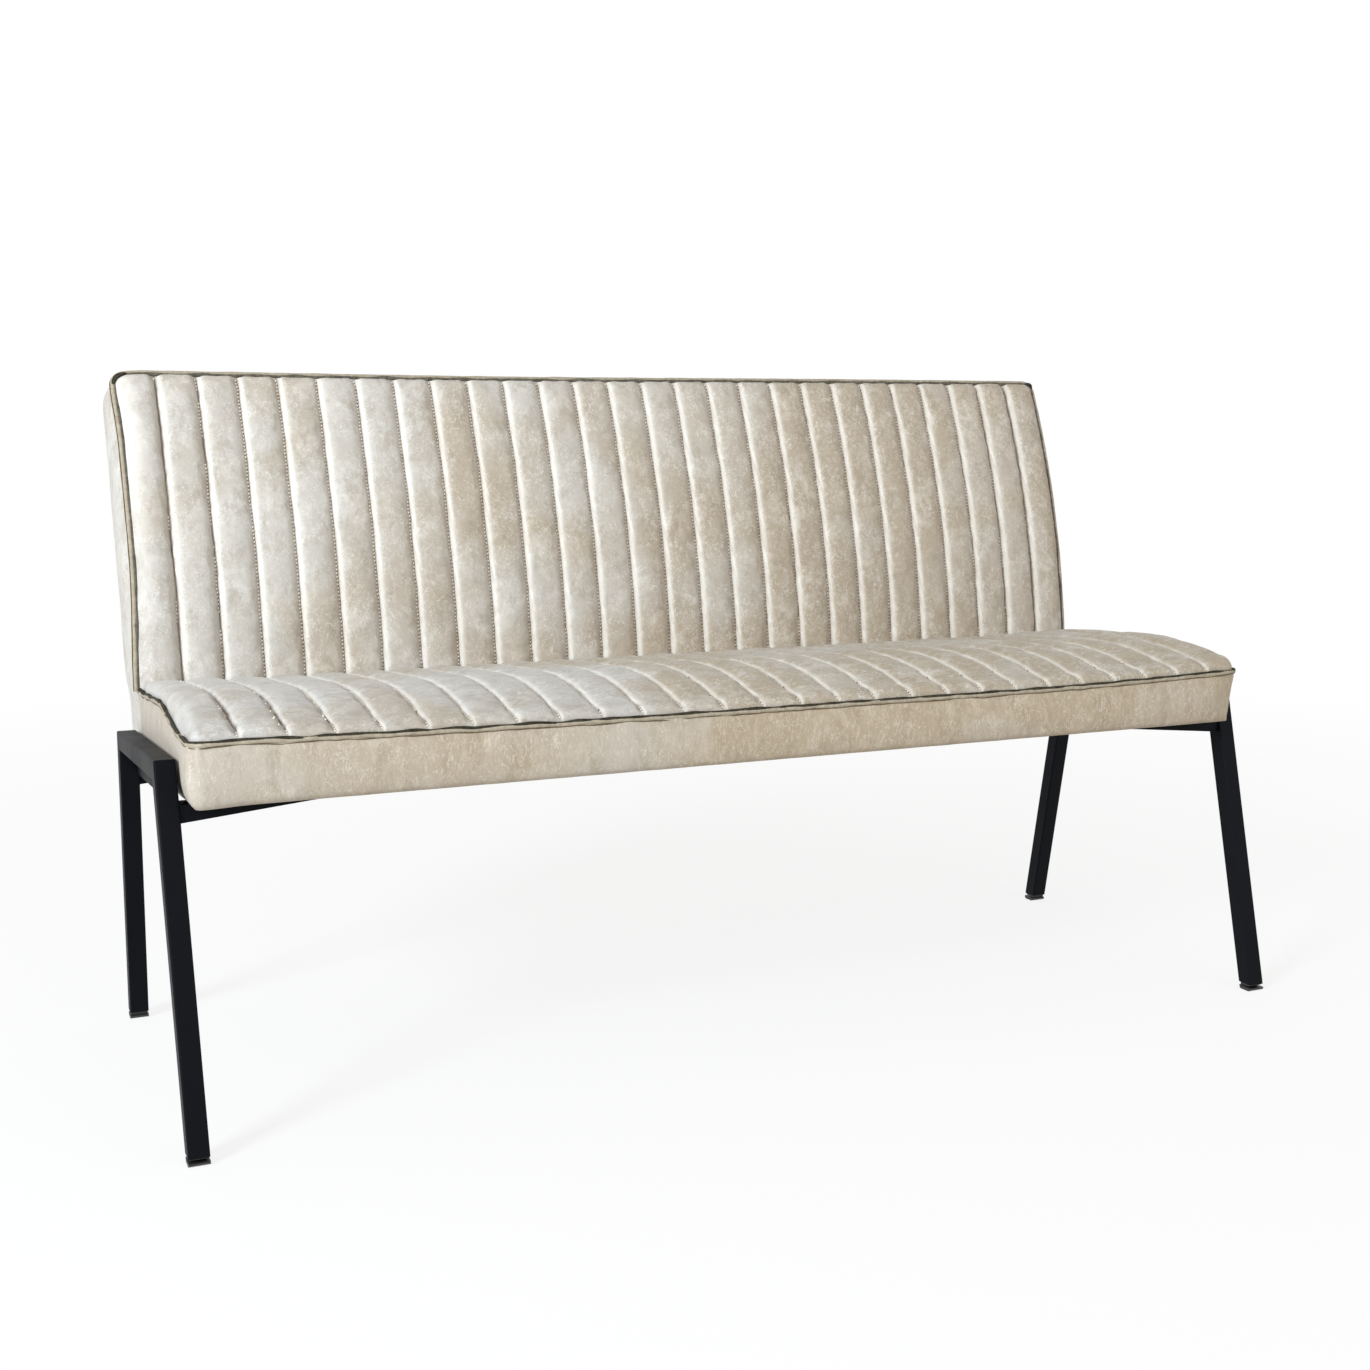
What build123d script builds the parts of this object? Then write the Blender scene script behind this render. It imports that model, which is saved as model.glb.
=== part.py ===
from build123d import *
import os
from math import cos, degrees, radians, sin, tan

# Side frames of square steel tube
frame_width = 1550
tube = 25
tube_wall = 2
tube_round = 2.5
foot_reach = 162
rail_height = 448
front_lean = 14.5
rear_lean = 10
rail_pitch = 4
corner_round = 7

# Plastic foot caps
cap_height = 10
cap_round = 6
cap_plug = 20
plug_gap = 0.2

# Seat and back as a whole, measured square to the seat's underside
seat_overhang = 55
seat_drop = 53
side_gap = 8
seat_depth = 414
cushion_gap = 0.4
fit_gap = 0.3
cut_overrun = 30

# Channelled panels
seam_count = 26
edge_channel = 50
panel_thick = 12
valley_thick = 6
shoulder = 10
panel_crown = 2
panel_edge = 1.5
edge_round = 11
edge_full_share = 0.85
plan_round = 14

# Seat cushion
front_height = 75
rear_height = 105
nose_reach = 26
seat_hump_share = 0.58
seat_arc_rise = 5.5
seat_rear_fall = 2
corner_run = 30
nose_lift_share = 1.2
lining_thick = 1
board_thick = 18
band_thick = 9
band_bulge = 6

# Back cushion
back_straight = 62
back_radius = 1245
back_lean = 22
back_top_thick = 98
back_low_thick = 109
back_tuck = 50
back_crest = 9
back_valley = 3.5
back_nose = 20
back_foam_thick = 40
back_board_thick = 10
rear_panel_thick = 4
pillow_rise = 6
pillow_inset = 22
pillow_mid_share = 0.35
pillow_mid_rise_share = 0.75
top_round = 10

# Wooden inner frame of the back
rib_thick = 28
rib_share = 0.8
top_rail_depth = 30
angle_width = 40
angle_leg = 45
angle_thick = 3
screw_size = 4
screw_head = 8
screw_head_thick = 1.6
screw_length = 14
screw_inset = 11

# Welts
welt_size = 6
welt_sides = 8

# Steel seat supports
web_thick = 4
web_drop = 4
arm_length = 160
arm_depth = 21
arm_tip = 6
arm_thick = 4
arm_flange = 40
bolt_inset = 46
bolt_spacing = 70

# Bolts, washers and nuts of the seat supports
bolt_size = 6
bolt_hole = 6.6
bolt_head = 10
bolt_head_thick = 4
washer_size = 14
washer_thick = 1.6
washer_sides = 12
rod_sides = 8
nut_barrel = 8
nut_flange = 18
nut_flange_thick = 1.4

# Side and front bulge, as shares of the full bulge, at shares of the seat's front height
seat_side_shares = ((0, -0.8, -0.8), (0.16, 0.3, 0.2), (0.36, 0.9, 0.85), (0.68, 0.9, 0.9), (1, 0, 0))

# Where a panel's rounded nose bends, across and up
nose_bend_shares = (0.34, 0.62)

# Places worked out from the sizes above
foot_spread = seat_depth + foot_reach
inner_half = frame_width / 2 - tube
half_width = inner_half - side_gap
corner_y = rail_height * tan(radians(front_lean))
pitch_sin = sin(radians(rail_pitch))
pitch_cos = cos(radians(rail_pitch))
seat_y = corner_y - seat_overhang * pitch_cos - seat_drop * pitch_sin
seat_z = rail_height + seat_overhang * pitch_sin - seat_drop * pitch_cos
board_low = lining_thick
board_high = board_low + board_thick
back_face = seat_depth + cushion_gap + back_crest + panel_crown
back_rear = back_face + back_low_thick
band_end = back_face - panel_edge - fit_gap
hump_depth = seat_depth * seat_hump_share
channel_width = 2 * (half_width - edge_channel) / (seam_count - 1)
seams = [(i - (seam_count - 1) / 2) * channel_width for i in range(seam_count)]
core_half = half_width - band_thick - fit_gap
core_front = band_thick + fit_gap
core_rear = back_rear - rear_panel_thick - fit_gap
core_top = band_thick + fit_gap
rib_top = core_top + top_rail_depth
rear_inset = rear_panel_thick + fit_gap
frame_front = fit_gap + back_foam_thick + back_board_thick
rib_places = [-core_half * rib_share, 0, core_half * rib_share]
angle_depth = (back_face + frame_front + core_rear) / 2
welt_out = welt_size / 2 + fit_gap
welt_x = half_width + welt_out
corner_reach = plan_round + welt_out
place_seat = Pos(0, seat_y, seat_z) * Rot(-rail_pitch, 0, 0)


def side_face(*edges):
    """A face in the side view, drawn as depth and height."""
    return Plane.YZ * make_face(Wire(edges))


def across(face, half):
    """A side-view face thickened evenly to both sides of the middle."""
    return extrude(face, amount=half, both=True)


def box_between(x_range, y_range, z_range):
    """A block between two values on each axis."""
    size = [high - low for low, high in (x_range, y_range, z_range)]
    middle = [(high + low) / 2 for low, high in (x_range, y_range, z_range)]
    return Pos(*middle) * Box(*size)


def crossing(point_a, dir_a, point_b, dir_b):
    """The point where two side-view lines cross."""
    spread = point_b - point_a
    share = (spread.Y * dir_b.Z - spread.Z * dir_b.Y) / (dir_a.Y * dir_b.Z - dir_a.Z * dir_b.Y)
    return point_a + dir_a * share


# Centre lines of the legs and the rail
front_up = Vector(0, sin(radians(front_lean)), cos(radians(front_lean)))
rear_up = Vector(0, -sin(radians(rear_lean)), cos(radians(rear_lean)))
rail_back = Vector(0, pitch_cos, -pitch_sin)
front_foot = Vector(0, tube / 2 / cos(radians(front_lean)), 0)
rear_foot = Vector(0, foot_spread - tube / 2 / cos(radians(rear_lean)), 0)
rail_mid = Vector(0, corner_y, rail_height) - Vector(0, pitch_sin, pitch_cos) * (tube / 2)
front_corner = crossing(front_foot, front_up, rail_mid, rail_back)
rear_corner = crossing(rear_foot, rear_up, rail_mid, rail_back)


def bar(start, direction, length, width, corner):
    """A solid square bar with rounded edges from start along a direction."""
    base = Plane(origin=tuple(start), x_dir=(1, 0, 0), z_dir=tuple(direction))
    return extrude(base * RectangleRounded(width, width, corner), amount=length)


def tube_between(start, end):
    """A hollow square tube that runs past both points."""
    direction = (end - start).normalized()
    begin = start - direction * cut_overrun
    length = (end - start).length + 2 * cut_overrun
    outer = bar(begin, direction, length, tube, tube_round)
    bore = bar(begin, direction, length, tube - 2 * tube_wall, tube_round - tube_wall)
    return outer - bore


def keep_side(solid, point, normal, keep):
    """Cut a solid by a plane and keep one side."""
    return split(solid, bisect_by=Plane(origin=tuple(point), z_dir=tuple(normal)), keep=keep)


def frame_outline():
    """The outer side outline of a frame, its rear corner rounded as ground."""
    rear_top = crossing(Vector(0, foot_spread, 0), rear_up, Vector(0, corner_y, rail_height), rail_back)
    points = [(0, 0), (corner_y, rail_height), (rear_top.Y, rear_top.Z), (foot_spread, 0)]
    face = make_face(Polyline(*points, close=True))
    face = fillet(face.vertices().sort_by_distance((rear_top.Y, rear_top.Z, 0))[0], corner_round)
    return across(Plane.YZ * face, tube)


def frame_tubes():
    """Front leg, rail and rear leg of one frame about x = 0, mitred to each other."""
    front_mitre = (front_up + rail_back).normalized()
    rear_mitre = (rail_back - rear_up).normalized()
    outline = frame_outline()
    floor_cut = Vector(0, 0, cap_height)
    front = keep_side(tube_between(front_foot, front_corner), front_corner, front_mitre, Keep.BOTTOM)
    front = keep_side(front, floor_cut, Vector(0, 0, 1), Keep.TOP)
    rail = keep_side(tube_between(front_corner, rear_corner), front_corner, front_mitre, Keep.TOP)
    rail = keep_side(rail, rear_corner, rear_mitre, Keep.BOTTOM)
    rear = keep_side(tube_between(rear_corner, rear_foot), rear_corner, rear_mitre, Keep.TOP)
    rear = keep_side(rear, floor_cut, Vector(0, 0, 1), Keep.TOP)
    return {"front_leg": front, "side_rail": rail & outline, "rear_leg": rear & outline}


def foot_cap(foot, up):
    """A cap with a rounded foot below the tube and a plug inside it."""
    below = cap_height / up.Z
    head = bar(foot - up * below, up, 3 * below, tube, tube_round)
    middle = foot + up * (below / 2)
    rounded = Pos(0, 0, cap_height / 2) * Plane.XZ * Rectangle(tube, cap_height)
    low_corners = rounded.vertices().group_by(Axis.Z)[0]
    front_shape = extrude(fillet(low_corners, cap_round), amount=tube, both=True)
    side = Rectangle(tube / up.Z, cap_height)
    side = Pos(middle.Y, cap_height / 2) * side
    side = Plane.YZ * fillet(side.vertices().group_by(Axis.Y)[0], cap_round)
    slab = box_between((-tube, tube), (foot.Y - tube, foot.Y + tube), (0, cap_height))
    head = head & slab & (Pos(0, foot.Y, 0) * front_shape) & across(side, tube)
    plug_width = tube - 2 * tube_wall - 2 * plug_gap
    plug = bar(foot + up * cap_round, up, cap_height - cap_round + cap_plug, plug_width, plug_gap)
    return head + plug


def seat_point(y, z):
    """Depth and height of a side-view point, measured on the pitched seat."""
    depth = (y - seat_y) * pitch_cos - (z - seat_z) * pitch_sin
    height = (y - seat_y) * pitch_sin + (z - seat_z) * pitch_cos
    return depth, height


def leg_depth(foot, up, height, offset):
    """Depth on the seat of a leg's line at a height, offset across the leg."""
    start = foot + Vector(0, up.Z, -up.Y) * offset
    depth_low, height_low = seat_point(start.Y, start.Z)
    top = start + up * rail_height
    depth_top, height_top = seat_point(top.Y, top.Z)
    return depth_low + (depth_top - depth_low) * (height - height_low) / (height_top - height_low)


def web_plate():
    """The strip below a rail, between the legs and flush with their inner faces."""
    high = seat_drop - tube
    low = -web_drop
    corners = [(leg_depth(front_foot, front_up, high, tube / 2), high),
               (leg_depth(rear_foot, rear_up, high, -tube / 2), high),
               (leg_depth(rear_foot, rear_up, low, -tube / 2), low),
               (leg_depth(front_foot, front_up, low, tube / 2), low)]
    face = Plane.YZ * make_face(Polyline(*corners, close=True))
    return Pos(inner_half, 0, 0) * extrude(face, amount=web_thick)


arm_depths = [leg_depth(front_foot, front_up, -arm_depth / 2, -arm_thick),
              leg_depth(rear_foot, rear_up, -arm_depth / 2, -arm_thick)]
bolt_places = [inner_half - bolt_inset - bolt_spacing * i for i in range(2)]


def bolt_spots(depth):
    """The two bolt places of an arm whose upright plate starts at this depth."""
    return [(x, depth + arm_thick + (arm_flange - arm_thick) / 2) for x in bolt_places]


def seat_arm(depth):
    """A tapered angle bracket that reaches from a leg under the seat."""
    inner = inner_half - arm_length
    taper = Plane.XZ * Polyline((inner_half, 0), (inner_half, -arm_depth), (inner, -arm_tip),
                                (inner, 0), close=True)
    plate = Pos(0, depth, 0) * extrude(make_face(taper), amount=-arm_thick)
    flange = box_between((inner, inner_half), (depth, depth + arm_flange), (-arm_thick, 0))
    flange = fillet(flange.edges().filter_by(Axis.Z).sort_by(Axis.X)[:2], arm_tip)
    arm = plate + flange
    for x, y in bolt_spots(depth):
        arm -= Pos(x, y, 0) * Cylinder(bolt_hole / 2, cut_overrun)
    return arm


def rod(size, length, sides=rod_sides):
    """A thin rod about its middle, its round faceted."""
    return Pos(0, 0, -length / 2) * extrude(RegularPolygon(size / 2, sides), amount=length)


def hex_bolt():
    """A hexagon bolt with its washer face at zero and its shank upwards."""
    head = extrude(RegularPolygon(bolt_head / 2, 6, major_radius=False), amount=-bolt_head_thick)
    length = washer_thick + arm_thick + board_high
    shank = Pos(0, 0, length / 2) * rod(bolt_size, length)
    return Pos(0, 0, -arm_thick - washer_thick) * (head + shank)


def washer():
    """A flat washer under an arm's flange."""
    ring = rod(washer_size, washer_thick, washer_sides) - rod(bolt_hole, cut_overrun, washer_sides)
    return Pos(0, 0, -arm_thick - washer_thick / 2) * ring


def tee_nut():
    """A barrel nut with a flange let into the top of the seat board."""
    barrel = Pos(0, 0, board_high - board_thick / 4) * rod(nut_barrel, board_thick / 2)
    flange = Pos(0, 0, board_high - nut_flange_thick / 2) * rod(nut_flange, nut_flange_thick)
    return barrel + flange - Pos(0, 0, board_high) * rod(bolt_size, 4 * board_thick)


def all_bolt_spots():
    """Every bolt place under the seat, both ends of the bench."""
    spots = [spot for depth in arm_depths for spot in bolt_spots(depth)]
    return spots + [(-x, y) for x, y in spots]


def seat_base():
    """The curve below the seat panel: level, rising, level again and falling slightly."""
    start = (corner_run, front_height)
    middle = ((corner_run + hump_depth) / 2, (front_height + rear_height) / 2)
    hump = (hump_depth, rear_height)
    rising = TangentArc(start, middle, tangent=(1, 0))
    return [Line((0, front_height), start), rising,
            TangentArc(middle, hump, tangent=rising % 1),
            TangentArc(hump, (seat_depth, rear_height - seat_rear_fall), tangent=(1, 0))]


def seat_section(lift, x):
    """Side-view section of the seat panel at x, lifted above its base."""
    rear_low = (seat_depth, rear_height - seat_rear_fall)
    edge = (0, front_height + panel_edge)
    nose = (nose_reach, front_height + lift * nose_lift_share)
    bend = (nose[0] * nose_bend_shares[0], edge[1] + (nose[1] - edge[1]) * nose_bend_shares[1])
    hump = (hump_depth, rear_height + lift)
    middle = ((nose[0] + hump[0]) / 2, (nose[1] + hump[1]) / 2 + seat_arc_rise)
    rear = (seat_depth, rear_low[1] + lift)
    top = [Line(rear, rear_low), TangentArc(hump, rear, tangent=(1, 0)),
           ThreePointArc(nose, middle, hump), ThreePointArc(edge, bend, nose),
           Line((0, front_height), edge)]
    return Plane.YZ.offset(x) * make_face(Wire(seat_base() + top))


def back_point(angle, forward):
    """A point on the back's curve, at an angle up from its straight foot."""
    radius = back_radius + forward
    return (back_face + back_radius - radius * cos(radians(angle)),
            back_straight + radius * sin(radians(angle)))


def back_turn(length):
    """The angle that a length takes along the back's curve."""
    return degrees(length / back_radius)


def back_curve(low, top_angle, forward):
    """The back's straight foot and arc, upwards, moved forwards."""
    bend = (back_face - forward, back_straight)
    return [Line((back_face - forward, low), bend),
            ThreePointArc(bend, back_point(top_angle / 2, forward), back_point(top_angle, forward))]


def back_section(lift, x):
    """Side-view section of the back panel at x, lifted forwards from its base."""
    low = rear_height - back_tuck
    nose_angle = back_lean - back_turn(back_nose)
    front = back_curve(low, nose_angle, lift)
    top = back_point(back_lean, 0)
    edge = back_point(back_lean, panel_edge)
    bend_angle = nose_angle + (back_lean - nose_angle) * nose_bend_shares[1]
    bend = back_point(bend_angle, panel_edge + (lift - panel_edge) * nose_bend_shares[1])
    outline = back_curve(low, back_lean, 0) + front
    outline += [Line((back_face, low), (back_face - lift, low)),
                ThreePointArc(back_point(nose_angle, lift), bend, edge), Line(edge, top)]
    return Plane.YZ.offset(x) * make_face(Wire(outline))


def crowned(lift, x):
    """A channel's lift with the slight crown along the bench."""
    return lift + panel_crown * (1 - (x / half_width) ** 2)


def panel_lifts(valley, crest):
    """Places across a panel and the lift at each: its edges, its seams and their shoulders."""
    lifts = {}
    for edge in (-half_width, half_width):
        full = edge * (1 - edge_round / half_width)
        lifts[edge] = panel_edge
        lifts[full] = crowned(crest * edge_full_share, full)
    for seam in seams:
        lifts[seam] = crowned(valley, seam)
        for place in (seam - shoulder, seam + shoulder):
            lifts[place] = crowned(crest, place)
    return sorted(lifts.items())


def channelled_panel(section, valley, crest):
    """One panel of channels between the seams, each with steep shoulders and a flat crown."""
    return loft([section(lift, x) for x, lift in panel_lifts(valley, crest)], ruled=True)


def seat_plan(half, front, corner):
    """Top-view outline of the seat with its two front corners rounded."""
    face = make_face(Polyline((-half, front), (half, front), (half, band_end), (-half, band_end),
                              close=True))
    return fillet(face.vertices().group_by(Axis.Y)[0], corner)


def seat_panel():
    """The channelled top of the seat, its front corners rounded."""
    panel = channelled_panel(seat_section, valley_thick, panel_thick)
    return panel & extrude(seat_plan(half_width, 0, plan_round), amount=2 * rear_height)


def under_seat_curve():
    """Everything below the seat panel's base, as a block."""
    low = -cut_overrun
    far = band_end + cut_overrun
    rear = rear_height - seat_rear_fall
    edges = seat_base() + [Line((seat_depth, rear), (far, rear)), Line((far, rear), (far, low)),
                           Line((far, low), (low, low)), Line((low, low), (low, front_height)),
                           Line((low, front_height), (0, front_height))]
    return across(side_face(*edges), frame_width)


def band_inside():
    """Top-view outline inside the band, widening at the rear to clear the back's end channels."""
    half = half_width - band_thick
    end = (half + 2 * band_thick, 2 * band_end - seat_depth)
    side = [(half, band_thick), (half, seat_depth), end]
    return make_face(Polyline(*side, *[(-x, y) for x, y in reversed(side)], close=True))


def seat_boxing():
    """The band round the seat, full at mid height and drawn in at its foot."""
    levels = []
    for height, side, front in seat_side_shares:
        plan = seat_plan(half_width + side * band_bulge, -front * band_bulge, plan_round)
        levels.append(Plane.XY.offset(height * front_height) * plan)
    outer = loft(levels, ruled=True) + extrude(levels[-1], amount=rear_height)
    inner = Pos(0, 0, -cut_overrun) * extrude(band_inside(), amount=2 * rear_height)
    return (outer - inner) & under_seat_curve()


def seat_foam():
    """The foam block between the board and the channelled panel."""
    block = box_between((-core_half, core_half), (core_front, seat_depth),
                        (board_high, 2 * rear_height))
    return block & (Pos(0, 0, -fit_gap) * under_seat_curve())


def rear_line():
    """Two side-view points of the back's rear face, low and high."""
    top = back_point(back_lean, 0)
    high = (top[0] + back_top_thick * cos(radians(back_lean)),
            top[1] - back_top_thick * sin(radians(back_lean)))
    return (back_rear, 0), high


def rear_crossing(angle, inset, start_inset):
    """Where a line square to the back's curve meets its rear face, moved in by inset."""
    low, high = rear_line()
    start = back_point(angle, -start_inset)
    square = Vector(0, cos(radians(angle)), -sin(radians(angle)))
    along = Vector(0, high[0] - low[0], high[1] - low[1])
    point = crossing(Vector(0, *start), square, Vector(0, low[0] - inset, low[1]), along)
    return point.Y, point.Z


def back_outline(inset, low):
    """The back's side outline, drawn in evenly by inset."""
    angle = back_lean - back_turn(inset)
    high = rear_crossing(angle, inset, inset)
    edges = back_curve(low, angle, -inset)
    edges += [Line(back_point(angle, -inset), high), Line(high, (back_rear - inset, low)),
              Line((back_rear - inset, low), (back_face + inset, low))]
    face = make_face(Wire(edges))
    return fillet(face.vertices().sort_by_distance((*high, 0))[0], top_round)


def back_boxing():
    """The band over the top and both sides of the back, full at its middle."""
    middle = (pillow_inset * pillow_mid_share, half_width + pillow_rise * pillow_mid_rise_share)
    ends = [(0, half_width), middle, (pillow_inset, half_width + pillow_rise)]
    end = loft([Plane.YZ.offset(x) * back_outline(inset, inset) for inset, x in ends], ruled=True)
    body = across(Plane.YZ * back_outline(0, 0), half_width) + end + mirror(end, Plane.YZ)
    return body - back_corners(half_width + pillow_rise) - back_core(band_thick, cut_overrun)


def top_plane():
    """The plane across the back's top edge, square to its lean, with y running down the back."""
    return Plane(origin=(0, *back_point(back_lean, 0)), x_dir=(1, 0, 0),
                 z_dir=(0, cos(radians(back_lean)), -sin(radians(back_lean))))


def back_view(half):
    """The back's outline at this half width, its two top corners rounded, as a block."""
    corners = [(-half, 0), (half, 0), (half, 2 * back_rear), (-half, 2 * back_rear)]
    face = make_face(Polyline(*corners, close=True))
    face = fillet(face.vertices().group_by(Axis.Y)[0], plan_round)
    return extrude(top_plane() * face, amount=2 * back_rear, both=True)


def back_corners(half):
    """What rounding takes off the back's two top corners, at this half width."""
    side = plan_round + cut_overrun
    square = Pos(half - plan_round + side / 2, plan_round - side / 2) * Rectangle(side, side)
    outside = square - Pos(half - plan_round, plan_round) * Circle(plan_round)
    corner = extrude(top_plane() * outside, amount=back_rear, both=True)
    return corner + mirror(corner, Plane.YZ)


def back_core(inset, reach):
    """The space inside the back's band, open to the front and the rear by reach."""
    angle = back_lean - back_turn(inset)
    front = back_point(angle, reach)
    rear = rear_crossing(angle, -reach, 0)
    face = make_face(Polyline(front, rear, (rear[0], -reach), (back_face - reach, -reach),
                              (back_face - reach, back_straight), close=True))
    return across(Plane.YZ * face, half_width - inset)


def back_panel():
    """The channelled front of the back, its top corners rounded."""
    return channelled_panel(back_section, back_valley, back_crest) & back_view(half_width)


def curved_slab(near, thick, top_inset):
    """A slab that follows the back's curve, near is its distance behind the face."""
    angle = back_lean - back_turn(top_inset)
    far = near + thick
    front = back_curve(board_high + fit_gap, angle, -near)
    rear = back_curve(board_high + fit_gap, angle, -far)
    ends = [Line(front[1] @ 1, rear[1] @ 1), Line(front[0] @ 0, rear[0] @ 0)]
    return across(side_face(*front, *rear, *ends), core_half)


def back_foam():
    """The foam between the channelled panel and the bent board."""
    return curved_slab(fit_gap, back_foam_thick, core_top)


def back_board():
    """The bent board that carries the back's foam."""
    return curved_slab(fit_gap + back_foam_thick, back_board_thick, core_top)


def back_rib(x):
    """A wooden rib that stands on the seat board behind the bent board."""
    angle = back_lean - back_turn(rib_top)
    front = back_curve(board_high, angle, -frame_front)
    high = rear_crossing(angle, rear_inset, frame_front)
    low = rear_crossing_height(board_high, rear_inset)
    face = side_face(*front, Line(front[1] @ 1, high), Line(high, low), Line(low, front[0] @ 0))
    rib = Pos(x, 0, 0) * across(face, rib_thick / 2)
    return rib - screw_holes()


def rear_crossing_height(height, inset):
    """The point of the back's rear face at a height, moved in by inset."""
    low, high = rear_line()
    share = (height - low[1]) / (high[1] - low[1])
    return low[0] - inset + (high[0] - low[0]) * share, height


def back_top_rail():
    """The wooden rail along the top of the back, over the ribs."""
    low_angle = back_lean - back_turn(rib_top)
    high_angle = back_lean - back_turn(core_top)
    points = [back_point(low_angle, -frame_front), back_point(high_angle, -frame_front),
              rear_crossing(high_angle, rear_inset, frame_front),
              rear_crossing(low_angle, rear_inset, frame_front)]
    return across(Plane.YZ * make_face(Polyline(*points, close=True)), core_half)


def rear_panel():
    """The padded cover panel that closes the back."""
    angle = back_lean - back_turn(core_top)
    points = [rear_crossing(angle, 0, frame_front), rear_crossing(angle, rear_panel_thick, frame_front),
              rear_crossing_height(0, rear_panel_thick), rear_crossing_height(0, 0)]
    return across(Plane.YZ * make_face(Polyline(*points, close=True)), core_half)


def angle_side(x):
    """The side of a rib on which its steel angle stands."""
    return -1 if x > 0 else 1


def steel_angle(x):
    """The angle that holds a rib to the seat board."""
    side = angle_side(x)
    start = x + side * rib_thick / 2
    wide = (angle_depth - angle_width / 2, angle_depth + angle_width / 2)
    foot = box_between(sorted((start, start + side * angle_leg)), wide,
                       (board_high, board_high + angle_thick))
    upright = box_between(sorted((start, start + side * angle_thick)), wide,
                          (board_high, board_high + angle_leg))
    return foot + upright - screw_holes()


def screw_shank():
    """The shank of a wood screw, through an angle's plate and into the wood."""
    middle = Pos(0, 0, (angle_thick - screw_length) / 2)
    return middle * rod(screw_size, angle_thick + screw_length)


def screw():
    """A wood screw with its head on an angle's plate."""
    head = Pos(0, 0, angle_thick + screw_head_thick / 2)
    return screw_shank() + head * rod(screw_head, screw_head_thick)


def screw_places():
    """Places of the screws of all three angles: two in each foot, two in each upright."""
    places = []
    for x in rib_places:
        side = angle_side(x)
        start = x + side * rib_thick / 2
        for offset in (-angle_width / 2 + screw_inset, angle_width / 2 - screw_inset):
            depth = angle_depth + offset
            places.append(Pos(start + side * (angle_leg - screw_inset), depth, board_high))
            places.append(Pos(start, depth, board_high + angle_leg - screw_inset)
                          * Rot(0, side * 90, 0))
    return places


def screw_holes():
    """All the screws' shanks, to be cut from the wood and the angles."""
    return Part() + [place * screw_shank() for place in screw_places()]


def sewn_cord(edges):
    """A cord along a smooth route of joined edges."""
    path = Wire(edges)
    start = Plane(origin=tuple(path @ 0), z_dir=tuple(path % 0))
    return sweep(start * RegularPolygon(welt_size / 2, welt_sides), path=path)


def both_sides(edges, front):
    """A route up one side, over the front stretch and down the other side."""
    return edges + [front] + [edge.mirror(Plane.YZ) for edge in edges]


def corner_arc(joint, along):
    """A quarter turn from a side joint round to the front stretch."""
    centre = joint - Vector(corner_reach, 0, 0)
    turn = corner_reach * sin(radians(45))
    end = centre + along * corner_reach
    return ThreePointArc(tuple(joint), tuple(centre + Vector(turn, 0, 0) + along * turn), tuple(end))


def seat_welt():
    """The cord along the seat's side and front edges."""
    base = seat_base()
    joint = Vector(welt_x, plan_round, front_height + panel_edge)
    shift = Vector(welt_x, 0, panel_edge)
    side = [Pos(*shift) * (Plane.YZ * edge) for edge in base[1:]]
    level = Line(tuple(joint), (welt_x, corner_run, joint.Z))
    corner = corner_arc(joint, Vector(0, -1, 0))
    end = corner @ 1
    front = Line(tuple(end), (-end.X, end.Y, end.Z))
    edges = [edge.edge() for edge in side] + [level, corner]
    return sewn_cord(both_sides(edges, front))


def back_welt():
    """The cord along the back's side and top edges."""
    forward = welt_size / 2
    high_angle = back_lean - back_turn(plan_round)
    low_angle = back_turn(rear_height + panel_edge + welt_size - back_straight)
    low, middle, joint = [Vector(welt_x, *back_point(angle, forward))
                          for angle in (low_angle, (low_angle + high_angle) / 2, high_angle)]
    along = Vector(0, sin(radians(high_angle)), cos(radians(high_angle)))
    corner = corner_arc(joint, along)
    end = corner @ 1
    front = Line(tuple(end), (-end.X, end.Y, end.Z))
    side = ThreePointArc(tuple(low), tuple(middle), tuple(joint))
    return sewn_cord(both_sides([side, corner], front))


def seat_board():
    """The wooden board under the seat and the back."""
    board = box_between((-core_half, core_half), (core_front, core_rear), (board_low, board_high))
    for x, y in all_bolt_spots():
        hole = Pos(x, y, 0) * rod(nut_barrel, cut_overrun + board_high)
        seat = Pos(x, y, board_high) * rod(nut_flange, 2 * nut_flange_thick)
        board -= hole + seat
    return board - screw_holes()


def bottom_lining():
    """The thin cloth under the seat board, with the bolts' holes."""
    lining = box_between((-core_half, core_half), (core_front, core_rear), (0, lining_thick))
    for x, y in all_bolt_spots():
        lining -= Pos(x, y, 0) * rod(nut_barrel, cut_overrun)
    return lining


def in_group(shape, places):
    """Copies of one small shape, kept as separate solids."""
    return Compound(children=[place * shape for place in places])


def frame_nodes():
    """The nodes of both side frames and their supports."""
    nodes = {}
    tubes = frame_tubes()
    caps = {"front_foot_cap": foot_cap(front_foot, front_up), "rear_foot_cap": foot_cap(rear_foot, rear_up)}
    for name, shape in (tubes | caps).items():
        right = Pos(inner_half + tube / 2, 0, 0) * shape
        nodes[name + "_right"] = right
        nodes[name + "_left"] = mirror(right, Plane.YZ)
    seat_steel = {"web_plate": web_plate(), "front_arm": seat_arm(arm_depths[0]),
                  "rear_arm": seat_arm(arm_depths[1])}
    for name, shape in seat_steel.items():
        nodes[name + "_right"] = place_seat * shape
        nodes[name + "_left"] = mirror(place_seat * shape, Plane.YZ)
    return nodes


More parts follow.
